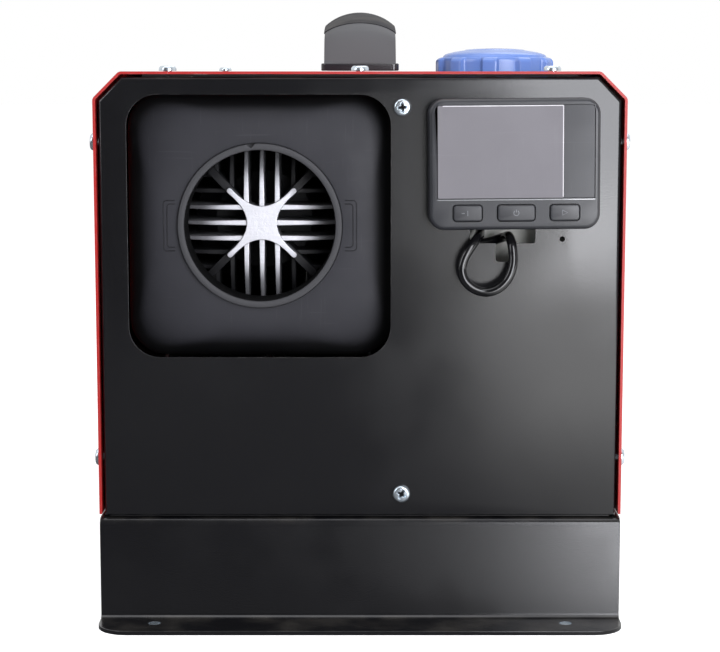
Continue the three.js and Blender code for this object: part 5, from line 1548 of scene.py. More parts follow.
@dataclass
class Hood:
    """The moulded hood: a square box whose face domes in to a flat ring round the collar."""

    x: float = OUTLET_X
    z: float = OUTLET_Z
    half: float = 61 * MM
    corner: float = 17 * MM
    wall: float = 2.2 * MM
    back_y: float = -150.3 * MM
    edge_y: float = -180 * MM
    face_y: float = -191.5 * MM
    hole: float = 37.8 * MM
    rim: float = 3 * MM
    sides: int = 128
    steps: int = 12
    panel_half: Pair = (44 * MM, 11.5 * MM)
    panel_insets: tuple[float, ...] = (0.0, 1.6 * MM)
    panel_bead: float = 0.22 * MM
    panel_steps: int = 6
    halvings: int = 24

    def ring(self, half: float, corner: float, y: float) -> Ring:
        """Draws a square ring with round corners about the outlet's axis.

        Args:
            half: Half of its width.
            corner: Its corner radius.
            y: Its depth.

        Returns:
            The ring.
        """
        turns = [2 * math.pi * (i + 0.5) / self.sides for i in range(self.sides)]
        reach = [(turn, squircle(half, corner, turn)) for turn in turns]
        outline = [(r * math.cos(turn), r * math.sin(turn)) for turn, r in reach]
        return upright(outline, y, self.x, self.z)

    def section(self, inset: float, share: float) -> Triple:
        """Finds the dome's half width, corner and depth part of the way in.

        Args:
            inset: Distance in from the outside.
            share: From 0 at the edge to 1 at the flat ring.

        Returns:
            The half width, the corner radius and Y.
        """
        turn = math.pi / 2 * share
        inward = 1 - math.cos(turn)
        half = self.half - inset
        flat = self.hole + self.rim
        depth = self.edge_y + (self.face_y - self.edge_y) * math.sin(turn)
        corner = self.corner - inset
        return half + (flat - half) * inward, corner + (flat - corner) * inward, depth + inset

    def dome(self, inset: float) -> list[Ring]:
        """Draws the domed face from its edge to its hole.

        Args:
            inset: How deep under the outside it lies.

        Returns:
            Its rings.
        """
        rings = [self.ring(*self.section(inset, i / self.steps)) for i in range(self.steps + 1)]
        return [*rings, self.ring(self.hole, self.hole, self.face_y + inset)]

    def surface(self, u: float, v: float) -> Vector:
        """Puts a point given from the axis onto the domed face.

        Args:
            u: Distance along X from the axis.
            v: Distance along Z from the axis.

        Returns:
            The point on the face.
        """
        low, high = 0.0, 1.0
        for _ in range(self.halvings):
            middle = (low + high) / 2
            half, corner, _ = self.section(0.0, middle)
            if squircle(half, corner, math.atan2(v, u)) > math.hypot(u, v):
                low = middle
            else:
                high = middle
        return Vector((self.x + u, self.section(0.0, low)[2], self.z + v))

    def panel_line(self, side: int, inset: float) -> list[Vector]:
        """Follows a raised line beside the collar.

        Args:
            side: 1 for the right, -1 for the left.
            inset: How far it lies inside the outer line.

        Returns:
            The line's points.
        """
        wide, tall = (half - inset for half in self.panel_half)
        near = self.hole + MM
        corners = [
            (near, tall), (wide - MM, tall), (wide, tall - MM),
            (wide, MM - tall), (wide - MM, -tall), (near, -tall),
        ]
        line = []
        for (u0, v0), (u1, v1) in zip(corners, corners[1:]):
            for k in range(self.panel_steps):
                u = u0 + (u1 - u0) * k / self.panel_steps
                v = v0 + (v1 - v0) * k / self.panel_steps
                line.append(self.surface(side * u, v))
        return [*line, self.surface(side * near, -tall)]

    def build(self) -> None:
        """Makes the hood and the faint raised lines on its face."""
        back = self.ring(self.half, self.corner, self.back_y)
        inner_back = self.ring(self.half - self.wall, self.corner - self.wall, self.back_y)
        shell = wound([back, *self.dome(0.0), *reversed(self.dome(self.wall)), inner_back])
        workshop.piece("hood_shell", shell, HOOD_PLASTIC, replaces=("outlet_hood",))
        lines = [self.panel_line(side, inset) for side in (-1, 1) for inset in self.panel_insets]
        beads = merged(bead(line, self.panel_bead) for line in lines)
        workshop.piece("hood_lines", beads, HOOD_PLASTIC)


@dataclass
class Collar:
    """The duct collar with its mould notch at the top."""

    x: float = OUTLET_X
    z: float = OUTLET_Z
    outer: float = 37.5 * MM
    wall: float = 3 * MM
    front_y: float = -194 * MM
    rim_y: float = -189 * MM
    length: float = 22 * MM
    rim: float = 3 * MM
    rim_thickness: float = 2 * MM
    notch: float = 4 * MM
    notch_depth: float = 2 * MM
    notch_step: float = 0.02 * MM
    notch_column: int = 32
    lead: float = 0.7 * MM
    lead_share: float = 0.3
    # Offsets of the near-black sleeve of painted shade from the collar's inner wall.
    shade_sleeve: Pair = (-0.15 * MM, 0.1 * MM)
    sides: int = 120

    def profile(self, sunk: float) -> Outline:
        """Draws the collar's section as (radius, Y).

        Args:
            sunk: How far the front's outside is cut in here.

        Returns:
            The section's points.
        """
        inner, outer, lead = self.outer - self.wall, self.outer, self.lead
        front, end = self.front_y, self.front_y + self.length
        cut, bend = outer - sunk, self.lead_share * lead
        rim_end = self.rim_y + self.rim_thickness
        return [
            (inner, front + lead), (inner + bend, front + bend), (inner + lead, front),
            (max(inner + lead, cut - lead), front), (cut - bend if sunk < lead else cut, front + bend),
            (cut, front + lead), (cut, front + self.notch), (outer, front + self.notch + self.notch_step),
            (outer, self.rim_y), (outer + self.rim, self.rim_y), (outer + self.rim, rim_end),
            (outer, rim_end), (outer, end), (inner, end),
        ]

    def make_shade_sleeve(self) -> Mesh:
        """Makes the near-black sleeve inside the collar, painted shade on its inner wall.

        Returns:
            The mesh.
        """
        near, far = self.front_y + MM, self.front_y + self.length
        thin, thick = (self.outer - self.wall + offset for offset in self.shade_sleeve)
        section = ((thin, near), (thick, near), (thick, far), (thin, far))
        return wound([upright(circle(r, self.sides), y, self.x, self.z) for r, y in section])

    def build(self) -> None:
        """Makes the collar and the sleeve of painted shade inside it."""
        columns = []
        for i in range(self.sides):
            turn = 2 * math.pi * i / self.sides
            section = self.profile(self.notch_depth if i == self.notch_column else 0.0)
            columns.append([
                Vector((self.x + r * math.cos(turn), y, self.z + r * math.sin(turn))) for r, y in section
            ])
        workshop.piece("collar_ring", wound(columns), DARK_PLASTIC, replaces=("outlet_collar",))
        workshop.piece("collar_shade_sleeve", self.make_shade_sleeve(), SHADED)


@dataclass
class Exchanger:
    """The finned casting that shows in the outlet, with its four-armed boss."""

    x: float = OUTLET_X
    z: float = OUTLET_Z
    nose_y: float = -174 * MM
    nose_radius: float = 22 * MM
    nose_length: float = 30 * MM
    radius: float = 52 * MM
    fin_rear: float = 8 * MM
    fin_steps: int = 10
    pitch: float = 7.2 * MM
    root: float = 2.8 * MM
    tip: float = 1.2 * MM
    rib: float = 3.6 * MM
    rib_drop: float = 3 * MM
    per_half: int = 3
    long_per_half: int = 1
    short_drop: float = 8 * MM
    arm_span: float = 14.9 * MM
    arm_radius: float = 1.35 * MM
    waist: Pair = (7.0 * MM, 7.8 * MM)
    boss_proud: float = 1.4 * MM
    # Radius and distance in front of the part's middle, in millimetres.
    cup: tuple[Pair, ...] = (
        (23, 149), (33, 139), (33, -16), (38, -16), (38, -22), (29, -22), (29, 141),
    )
    cup_sides: int = 64
    port_y: float = -28 * MM
    port_radius: float = 12 * MM
    port_z: Pair = (-62.6 * MM, -29 * MM)
    port_sides: int = 40
    bright_edge: float = 0.45 * MM
    dark_edge: float = 0.4 * MM

    def nose(self, radius: float) -> float:
        """Says how far back the rounded nose lies.

        Args:
            radius: Distance from the axis.

        Returns:
            The distance behind its front.
        """
        share = min(max((radius - self.nose_radius) / (self.radius - self.nose_radius), 0.0), 1.0)
        return self.nose_length * (1 - math.sqrt(1 - share ** 2))

    def fin(
        self, index: float, quarter: float, front: float, start: float,
        width: Pair | None = None,
    ) -> Mesh:
        """Makes one straight fin of a quarter.

        Args:
            index: Its place counted in pitches from the quarter's middle.
            quarter: Which quarter; a half stands for a diagonal.
            front: Y of its front at the nose.
            start: Where it starts from the axis.
            width: Thickness on the axis and at the rim, or None for the common one.

        Returns:
            The mesh.
        """
        root, tip = width or (self.root, self.tip)
        offset = index * self.pitch
        end = math.sqrt(self.radius ** 2 - offset ** 2)
        turns = [math.pi / 2 * i / self.fin_steps for i in range(self.fin_steps + 1)]
        heights = [start + (end - start) * math.sin(turn) for turn in turns]
        outline = [(front + self.nose(math.hypot(offset, height)), height) for height in heights]
        outline += [(self.fin_rear, end), (self.fin_rear, start)]
        sides = []
        for side in (-0.5, 0.5):
            thick = [root + (tip - root) * height / self.radius for _, height in outline]
            sides.append([
                Vector((offset + side * t, y, height)) for t, (y, height) in zip(thick, outline)
            ])
        turn = Matrix.Rotation(math.pi / 2 * quarter, 4, "Y")
        return placed(pierced(sides), self.home() @ turn)

    def home(self) -> Matrix:
        """Places what is drawn about the axis.

        Returns:
            The matrix from the axis's frame to the part's.
        """
        return Matrix.Translation((self.x, 0.0, self.z))

    def boss_outline(self) -> Outline:
        """Draws the four-armed boss: round arm ends with hollow sides between them.

        Returns:
            Its outline about the axis.
        """
        outline = []
        span, tip = self.arm_span, self.arm_radius
        for quarter in range(4):
            turn = math.pi / 2 * quarter
            ends = [(-math.pi / 4 + math.pi * k / 6) for k in range(7)]
            arc = [(span + tip * math.cos(a), span + tip * math.sin(a)) for a in ends]
            start, stop = arc[-1], (-arc[-1][0], arc[-1][1])
            dip = (self.waist[(quarter + 1) % 2] - start[1] / 4) * 4 / 3
            pull = 0.3 * span
            side = []
            for k in range(1, 16):
                t = k / 16
                weights = ((1 - t) ** 3, 3 * t * (1 - t) ** 2, 3 * t ** 2 * (1 - t), t ** 3)
                pulls = list(zip(weights, (start, (pull, dip), (-pull, dip), stop)))
                side.append(tuple(sum(weight * spot[axis] for weight, spot in pulls) for axis in (0, 1)))
            cos, sin = math.cos(turn), math.sin(turn)
            outline += [(u * cos - v * sin, u * sin + v * cos) for u, v in (*arc, *side)]
        return outline

    def bright(self) -> Mesh:
        """Makes the boss and the long fins, which are painted bright as lit.

        Returns:
            The mesh.
        """
        depths = (self.nose_y - self.boss_proud, self.nose_y + self.nose_length / 2)
        boss = pierced([upright(self.boss_outline(), y, self.x, self.z) for y in depths])
        middle = range(-self.long_per_half, self.long_per_half + 1)
        fins = [
            self.fin(index, quarter, self.nose_y, abs(index) * self.pitch)
            for quarter in range(4) for index in middle
        ]
        return merged([boss, *fins])

    def dark(self) -> Mesh:
        """Makes the outer fins, the diagonal ribs, the cup and its port, which are painted dark as shaded.

        Returns:
            The mesh.
        """
        outer = [i for i in range(-self.per_half, self.per_half + 1) if abs(i) > self.long_per_half]
        front = self.nose_y + self.short_drop
        fins = [
            self.fin(index, quarter, front, abs(index) * self.pitch)
            for quarter in range(4) for index in outer
        ]
        recessed, girth = self.nose_y + self.rib_drop, (self.rib, self.rib)
        ribs = [self.fin(0, quarter + 0.5, recessed, self.arm_span, girth) for quarter in range(4)]
        cup = turned([(radius * MM, height * MM) for radius, height in self.cup], self.cup_sides)
        port = turned([(self.port_radius, z) for z in self.port_z], self.port_sides)
        placed(cup, self.home() @ TURNED_TO_FRONT)
        placed(port, self.home() @ Matrix.Translation((0.0, self.port_y, 0.0)))
        return merged([*fins, *ribs, cup, port])

    def build(self) -> None:
        """Makes the casting in two finishes: a front painted as lit and a body painted as shaded."""
        workshop.piece(
            "exchanger_nose", self.bright(), PAINTED_LIGHT_CASTING,
            replaces=("heat_exchanger",), bevel=self.bright_edge,
        )
        workshop.piece("exchanger_body", self.dark(), PAINTED_SHADE_CASTING, bevel=self.dark_edge)


# ---- display ----


class Icon(Enum):
    """Pictograms on the display's buttons."""

    LESS = "less"
    POWER = "power"
    MORE = "more"


@dataclass
class Display:
    """The display: tray, bezel, window with its film, and three buttons."""

    x: float = 68.6 * MM
    y: float = -200.0 * MM
    z: float = 212.1 * MM
    tilt: float = -0.5
    width: float = 76.4 * MM
    height: float = 58.2 * MM
    corner: float = 7 * MM
    tray: float = 5 * MM
    # How far the tray's back edge is drawn in, and where, in millimetres.
    tray_edge: tuple[Pair, ...] = ((0.6, 0.0), (0.1, 0.3), (0.0, 0.9))
    seam: float = 0.3 * MM
    thickness: float = 7.6 * MM
    wall: float = 2.4 * MM
    edge: float = 1.9 * MM
    edge_depth: float = 2.6 * MM
    window: Pair = (69.6 * MM, 41 * MM)
    window_at: Pair = (0.7 * MM, 5.6 * MM)
    window_thickness: float = 1 * MM
    window_corner: float = 0.5 * MM
    film_width: float = 55.8 * MM
    film_thickness: float = 0.2 * MM
    film_corner: float = 0.6 * MM
    # The curled bead along the film's edge, painted near white as a highlight.
    curl: float = 0.2 * MM
    curl_inset: float = 0.25 * MM
    curl_low: float = 0.5 * MM
    curl_share: float = 0.46
    # Size, drop and depths of the pale bar painted as a highlight line under the window.
    trim: Pair = (0.55 * MM, 0.2 * MM)
    trim_drop: float = 0.75 * MM
    trim_depths: Pair = (0.3 * MM, -0.12 * MM)
    ledge: float = 1.5 * MM
    buttons: tuple[tuple[str, float, Icon], ...] = (
        ("button_down", 12.8 * MM, Icon.LESS),
        ("button_power", 16.6 * MM, Icon.POWER),
        ("button_up", 13 * MM, Icon.MORE),
    )
    button_height: float = 7.1 * MM
    button_drop: float = 21.5 * MM
    button_pitch: float = 21.6 * MM
    button_play: float = 0.4 * MM
    button_proud: float = 0.9 * MM
    button_corner: float = 1.5 * MM
    button_edge: float = 0.6 * MM
    button_length: float = 6 * MM
    brim: float = 1 * MM
    mark: float = 1.15 * MM
    mark_height: float = 0.06 * MM
    stroke: float = 0.34 * MM
    bezel_bevel: float = 0.16 * MM
    fine_bevel: float = 0.1 * MM

    @property
    def home(self) -> Matrix:
        """The matrix from the display's frame to the part's."""
        lean = Matrix.Rotation(math.radians(self.tilt), 4, "Y")
        return Matrix.Translation((self.x, self.y, self.z)) @ lean

    @property
    def back_y(self) -> float:
        """Y of the bezel's back in the display's frame."""
        return -self.tray - self.seam

    @property
    def face_y(self) -> float:
        """Y of the bezel's face in the display's frame."""
        return self.back_y - self.thickness

    def button_x(self, index: int) -> float:
        """Says where a button's middle is along X.

        Args:
            index: Its place, left to right.

        Returns:
            X in the display's frame.
        """
        return self.window_at[0] + (index - 1) * self.button_pitch

    def outline(self, inset: float) -> Outline:
        """Draws the display's outline.

        Args:
            inset: How far it is drawn in.

        Returns:
            The outline.
        """
        return rounded(self.width - 2 * inset, self.height - 2 * inset, self.corner - inset, 12)

    def make_tray(self) -> None:
        """Makes the back tray."""
        rings = [upright(self.outline(inset * MM), -depth * MM) for inset, depth in self.tray_edge]
        rings.append(upright(self.outline(0.0), -self.tray))
        rings += [upright(self.outline(self.wall), y) for y in (-self.tray, -self.wall)]
        tray = placed(pierced(rings), self.home)
        workshop.piece("display_tray", tray, DARK_PLASTIC, replaces=("display_back",))

    def bezel_rings(self) -> list[Ring]:
        """Draws the bezel's outside from its back to its face.

        Returns:
            Its rings.
        """
        rings = [upright(self.outline(0.0), self.back_y)]
        for inset, under in quarter_round(self.edge, self.edge_depth, 8):
            rings.append(upright(self.outline(inset), self.face_y + under))
        return rings

    def opening(self, grown: float, corner: float) -> Outline:
        """Draws the window's opening.

        Args:
            grown: How far it is grown on all sides; less than 0 shrinks it.
            corner: Its corner radius.

        Returns:
            The outline.
        """
        return rounded(self.window[0] + 2 * grown, self.window[1] + 2 * grown, corner, 4)

    def make_bezel(self) -> None:
        """Makes the bezel with its window pocket and button holes."""
        u, v = self.window_at
        floor_y = self.face_y + self.window_thickness + self.seam
        narrow, wide = self.opening(-self.ledge, MM), self.opening(self.seam, self.seam)
        steps = ((narrow, self.back_y), (narrow, floor_y), (wide, floor_y), (wide, self.face_y))
        holes = [[upright(outline, y, u, v) for outline, y in steps]]
        for index, (_, width, _) in enumerate(self.buttons):
            hole = rounded(
                width + 2 * self.button_play, self.button_height + 2 * self.button_play,
                self.button_corner + self.button_play, 5,
            )
            u = self.button_x(index)
            holes.append([upright(hole, y, u, -self.button_drop) for y in (self.back_y, self.face_y)])
        bezel = placed(pierced(self.bezel_rings(), holes), self.home)
        workshop.piece("bezel", bezel, BEZEL_PLASTIC, replaces=("display_bezel",), bevel=self.bezel_bevel)
        self.make_highlight_trim()

    def make_highlight_trim(self) -> None:
        """Makes a pale glossy bar along the foot of the window: a painted highlight line that also reflects
        the lamps.
        """
        wide, tall = self.window
        u, v = self.window_at
        bar = rounded(wide + 2 * self.seam, *self.trim, 3)
        at = v - tall / 2 - self.trim_drop
        rings = [upright(bar, self.face_y + depth, u, at) for depth in self.trim_depths]
        trim = placed(pierced(rings), self.home)
        workshop.piece("window_highlight_trim", trim, HIGHLIGHT_TRIM_PLASTIC, bevel=self.fine_bevel)

    def make_window(self) -> None:
        """Makes the window and the film left on most of it."""
        wide, tall = self.window
        u, v = self.window_at
        pane = rounded(wide, tall, self.window_corner, 3)
        rings = [upright(pane, self.face_y + depth, u, v) for depth in (self.window_thickness, 0.0)]
        glass = placed(pierced(rings), self.home)
        workshop.piece("window_pane", glass, WINDOW, replaces=("display_window",), bevel=self.fine_bevel)
        middle = u - wide / 2 + self.film_width / 2
        film = rounded(self.film_width, tall, self.film_corner, 3)
        face = self.face_y - self.seam
        rings = [upright(film, face - depth, middle, v) for depth in (0.0, self.film_thickness)]
        sheet = placed(pierced(rings), self.home)
        workshop.piece("film_sheet", sheet, FILM, replaces=("window_film",))
        self.make_film_edge_glint(middle, face - self.film_thickness)

    def make_film_edge_glint(self, middle: float, y: float) -> None:
        """Makes the film's curled edge at its right and top: a glossy bead painted near white as a
        highlight.

        Args:
            middle: The film's middle along X.
            y: The film's face.
        """
        right = middle + self.film_width / 2 - self.curl_inset
        low = self.window_at[1] - self.window[1] / 2 + self.curl_low
        high = self.window_at[1] + self.window[1] / 2 - self.curl_inset
        left = middle - self.curl_share * self.film_width
        corners = [Vector((right, y, low)), Vector((right, y, high)), Vector((left, y, high))]
        beads = merged(bead(spaced(span, 12), self.curl) for span in (corners[:2], corners[1:]))
        workshop.piece("film_edge_glint", placed(beads, self.home), FILM_EDGE_GLINT)

    def make_button(self, index: int) -> None:
        """Makes one button and the mark on its face.

        Args:
            index: Its place, left to right.
        """
        name, width, icon = self.buttons[index]
        face = self.face_y - self.button_proud
        brim_y = self.face_y + self.wall + self.seam
        brim = rounded(width + 2 * self.brim, self.button_height + 2 * self.brim, self.button_corner, 6)
        plan = rounded(width, self.button_height, self.button_corner, 6)
        rings = [(plan, face + self.button_length), (plan, brim_y + self.brim), (brim, brim_y + self.brim)]
        rings += [(brim, brim_y), (plan, brim_y)]
        for inset, under in quarter_round(self.button_edge, self.button_edge, 4):
            corner = self.button_corner - inset
            shrunk = rounded(width - 2 * inset, self.button_height - 2 * inset, corner, 6)
            rings.append((shrunk, face + under))
        at = Matrix.Translation((self.button_x(index), 0.0, -self.button_drop))
        body = pierced([upright(outline, y) for outline, y in rings])
        workshop.piece(f"{name}_key", placed(body, self.home @ at), BEZEL_PLASTIC, name, (name,))
        mark = merged(self.stroke_body(path, face) for path in self.strokes(icon))
        workshop.piece(f"{name}_mark", placed(mark, self.home @ at), INK, name)

    def strokes(self, icon: Icon) -> list[Outline]:
        """Lists the strokes of a pictogram as lines of points about its middle.

        Args:
            icon: The pictogram.

        Returns:
            The lines.
        """
        reach = self.mark
        if icon is Icon.LESS:
            return [[(-2.4 * reach, 0.0), (-1.2 * reach, 0.0)], [(0.0, -reach), (0.0, reach)]]
        if icon is Icon.MORE:
            return [[(-reach, reach), (reach, 0.0), (-reach, -reach), (-reach, reach)]]
        turns = [math.radians(125 + 290 * i / 20) for i in range(21)]
        ring = [(reach * math.cos(turn), reach * math.sin(turn)) for turn in turns]
        return [ring, [(0.0, 0.25 * reach), (0.0, 1.3 * reach)]]

    def stroke_body(self, path: Sequence[Pair], face: float) -> Mesh:
        """Makes one printed stroke on a button's face.

        Args:
            path: The stroke's line.
            face: Y of the face.

        Returns:
            The mesh.
        """
        line = [Vector((u, face, v)) for u, v in path]
        left, right = [], []
        for i, point in enumerate(line):
            heading = line[min(i + 1, len(line) - 1)] - line[max(i - 1, 0)]
            across = Vector((-heading.z, 0.0, heading.x)).normalized() * self.stroke / 2
            left.append(point + across)
            right.append(point - across)
        lift = Vector((0.0, -self.mark_height, 0.0))
        return pierced([[a, b, b + lift, a + lift] for a, b in zip(left, right)])

    def build(self) -> None:
        """Makes the display's pieces."""
        self.make_tray()
        self.make_bezel()
        self.make_window()
        for index in range(len(self.buttons)):
            self.make_button(index)


# ---- top: fuel cap and carrying handle ----


@dataclass
class FuelCap:
    """The blue filler cap with wide grip panels round its skirt."""

    x: float = 69.5 * MM
    y: float = -63 * MM
    z: float = 253 * MM
    radius: float = 28 * MM
    lobes: int = 10
    lobe_proud: float = 2.5 * MM
    lobe_share: float = 0.52
    slope: float = 0.09
    shoulder: float = 7.2 * MM
    shoulder_drop: float = 2.6 * MM
    shoulder_inset: float = 1.2 * MM
    shoulder_steps: int = 6
    # Radius and height, in millimetres.
    crown: tuple[Pair, ...] = (
        (26.6, 7.5), (26.3, 8.0), (25.6, 8.6), (24.0, 9.2), (21.0, 9.9), (17.5, 10.5), (15.6, 10.75),
        (15.2, 10.95), (14.6, 11.1), (9.0, 11.55), (3.0, 11.78), (0.01, 11.8),
    )
    skirt: float = 8 * MM
    wall: float = 2.4 * MM
    ceiling: float = 4.6 * MM
    sides: int = 360

    def lobe(self, turn: float) -> float:
        """Says how far a grip panel stands out in a direction.

        Args:
            turn: The direction in radians.

        Returns:
            From 0 between the panels to 1 on them.
        """
        place = turn / (2 * math.pi) * self.lobes % 1.0
        inside = min(place, self.lobe_share - place) if place < self.lobe_share else 0.0
        share = min(max(inside / self.slope, 0.0), 1.0)
        return share * share * (3 - 2 * share)

    def profile(self) -> list[Triple]:
        """Draws the cap's section from the middle of its ceiling to the middle of its crown.

        Returns:
            Points as (radius, height, share of the grip panels).
        """
        inner = self.radius - self.wall
        section = [(THINNEST, self.ceiling, 0.0), (inner, self.ceiling, 0.0), (inner, -self.skirt, 0.0)]
        section.append((self.radius, -self.skirt, 1.0))
        for step in range(self.shoulder_steps + 1):
            turn = math.pi / 2 * step / self.shoulder_steps
            radius = self.radius - self.shoulder_inset * (1 - math.cos(turn))
            drop = self.shoulder_drop * (1 - math.sin(turn))
            section.append((radius, self.shoulder - drop, math.cos(turn)))
        return section + [(radius * MM, height * MM, 0.0) for radius, height in self.crown]

    def build(self) -> None:
        """Makes the cap."""
        rings = []
        turns = [2 * math.pi * i / self.sides for i in range(self.sides)]
        for radius, height, share in self.profile():
            reach = [(turn, radius + self.lobe_proud * share * self.lobe(turn)) for turn in turns]
            outline = [(r * math.cos(turn), r * math.sin(turn)) for turn, r in reach]
            rings.append(level(outline, self.z + height, self.x, self.y))
        workshop.piece("filler_cap", pierced(rings), BLUE_PLASTIC, "cap", ("fuel_cap",))


@dataclass
class Handle:
    """The moulded carrying handle with its crowned grip and two screwed feet."""

    z: float = 253 * MM
    span: float = 190 * MM
    foot_length: float = 26 * MM
    foot_width: float = 39 * MM
    foot_height: float = 4 * MM
    foot_corner: float = 3 * MM
    foot_bevel: float = 0.6 * MM
    grip_width: float = 36 * MM
    edge_rise: float = 25.4 * MM
    crown: float = 6 * MM
    thickness: float = 6 * MM
    hollow: float = 2 * MM
    hollow_share: float = 0.9
    rolled: float = 1 * MM
    grip_bevel: float = 0.5 * MM
    gap: float = 0.3 * MM
    # The darker shell of painted shade over the grip's top: the height where it starts, how far it stands
    # out and its wall.
    top_shade_from: float = 17.2 * MM
    top_shade_proud: float = 0.3 * MM
    top_shade_wall: float = 0.6 * MM
    start: float = 3 * MM
    # Distance from the foot's end in millimetres, and share of the grip's height.
    risers: tuple[Pair, ...] = (
        (7, 0.38), (12, 0.65), (20, 0.77), (43, 0.9), (68, 0.975),
    )
    stations: int = 56
    riser_stations: int = 8
    columns: int = 24
    steps: int = 16

    def line(self) -> list[Vector]:
        """Follows the grip's edge from foot to foot.

        Returns:
            The line's points.
        """
        half, mid = self.span / 2, self.edge_rise - self.thickness / 2
        rising = [Vector((0.0, self.start - half, self.foot_height / 2 + self.gap))]
        rising += [Vector((0.0, setback * MM - half, mid * share)) for setback, share in self.risers]
        falling = [Vector((0.0, -point.y, point.z)) for point in reversed(rising)]
        knee = len(rising) - 3
        arch = [*rising[knee - 1:], Vector((0.0, 0.0, mid)), *falling[:4]]
        front = spaced(spline(rising[:knee], self.steps), self.riser_stations)
        top = spaced(spline(arch, self.steps), self.stations)
        rear = spaced(spline(falling[3:], self.steps), self.riser_stations)
        return [*front[:-1], *top, *rear[1:]]

    def section(self, line: Sequence[Vector], index: int, proud: float = 0.0) -> Ring:
        """Draws one cross-section: a crowned top over a hollow underside, or the darker shell over the top
        that is painted shade.

        Args:
            line: The grip's edge line.
            index: Which station.
            proud: How far that shell of painted shade stands out, or 0 for the grip itself.

        Returns:
            The ring.
        """
        middle = line[index]
        heading = (line[min(index + 1, len(line) - 1)] - line[max(index - 1, 0)]).normalized()
        normal = Vector((0.0, -heading.z, heading.y))
        height = middle.z / (self.edge_rise - self.thickness / 2)
        crown = self.crown * max(height, 0.0) ** 1.5

        def row(offset: float, arch: float) -> Ring:
            """Crosses the grip once.

            Args:
                offset: Distance over its line, before the edges roll down.
                arch: How much higher its middle is.

            Returns:
                The row's points.
            """
            points = []
            for i in range(self.columns + 1):
                across = 2 * i / self.columns - 1
                rise = offset + arch * (1 - across ** 2) - abs(across) ** 5 * self.rolled
                point = middle + normal * rise
                points.append(Vector((across * (self.grip_width / 2 + proud), point.y, point.z)))
            return points

        if proud:
            under = row(self.thickness / 2 - self.top_shade_wall, crown)
        else:
            under = row(self.hollow - self.thickness / 2, crown * self.hollow_share)
        return [*row(self.thickness / 2 + proud, crown), *reversed(under)]

    def pad(self, side: int) -> Mesh:
        """Makes the foot pad at one end.

        Args:
            side: -1 for the front, 1 for the rear.

        Returns:
            The mesh.
        """
        plan = rounded(self.foot_width, self.foot_length, self.foot_corner)
        middle = side * (self.span - self.foot_length) / 2
        return pierced([level(plan, height, 0.0, middle) for height in (self.gap, self.foot_height)])

    def build(self) -> None:
        """Makes the handle, the darker shell over its top that is painted shade, and its feet."""
        line = self.line()
        grip = pierced([self.section(line, i) for i in range(len(line))])
        for vertex in grip.verts:
            vertex.co.z = max(vertex.co.z, self.gap)
        up = Matrix.Translation((0.0, 0.0, self.z))
        workshop.piece(
            "handle_grip", placed(grip, up), GREY_PLASTIC,
            replaces=("carry_handle",), bevel=self.grip_bevel,
        )
        # A thin darker shell is laid over the grip's upper band as painted shade.
        shaded_stations = [i for i in range(len(line)) if line[i].z > self.top_shade_from]
        cover = pierced([self.section(line, i, self.top_shade_proud) for i in shaded_stations])
        workshop.piece("handle_top_shade", placed(cover, up), TOP_SHADE_PLASTIC)
        pads = merged(self.pad(side) for side in (-1, 1))
        workshop.piece("handle_feet", placed(pads, up), FOOT_PLASTIC, bevel=self.foot_bevel, segments=3)


# ---- screws ----


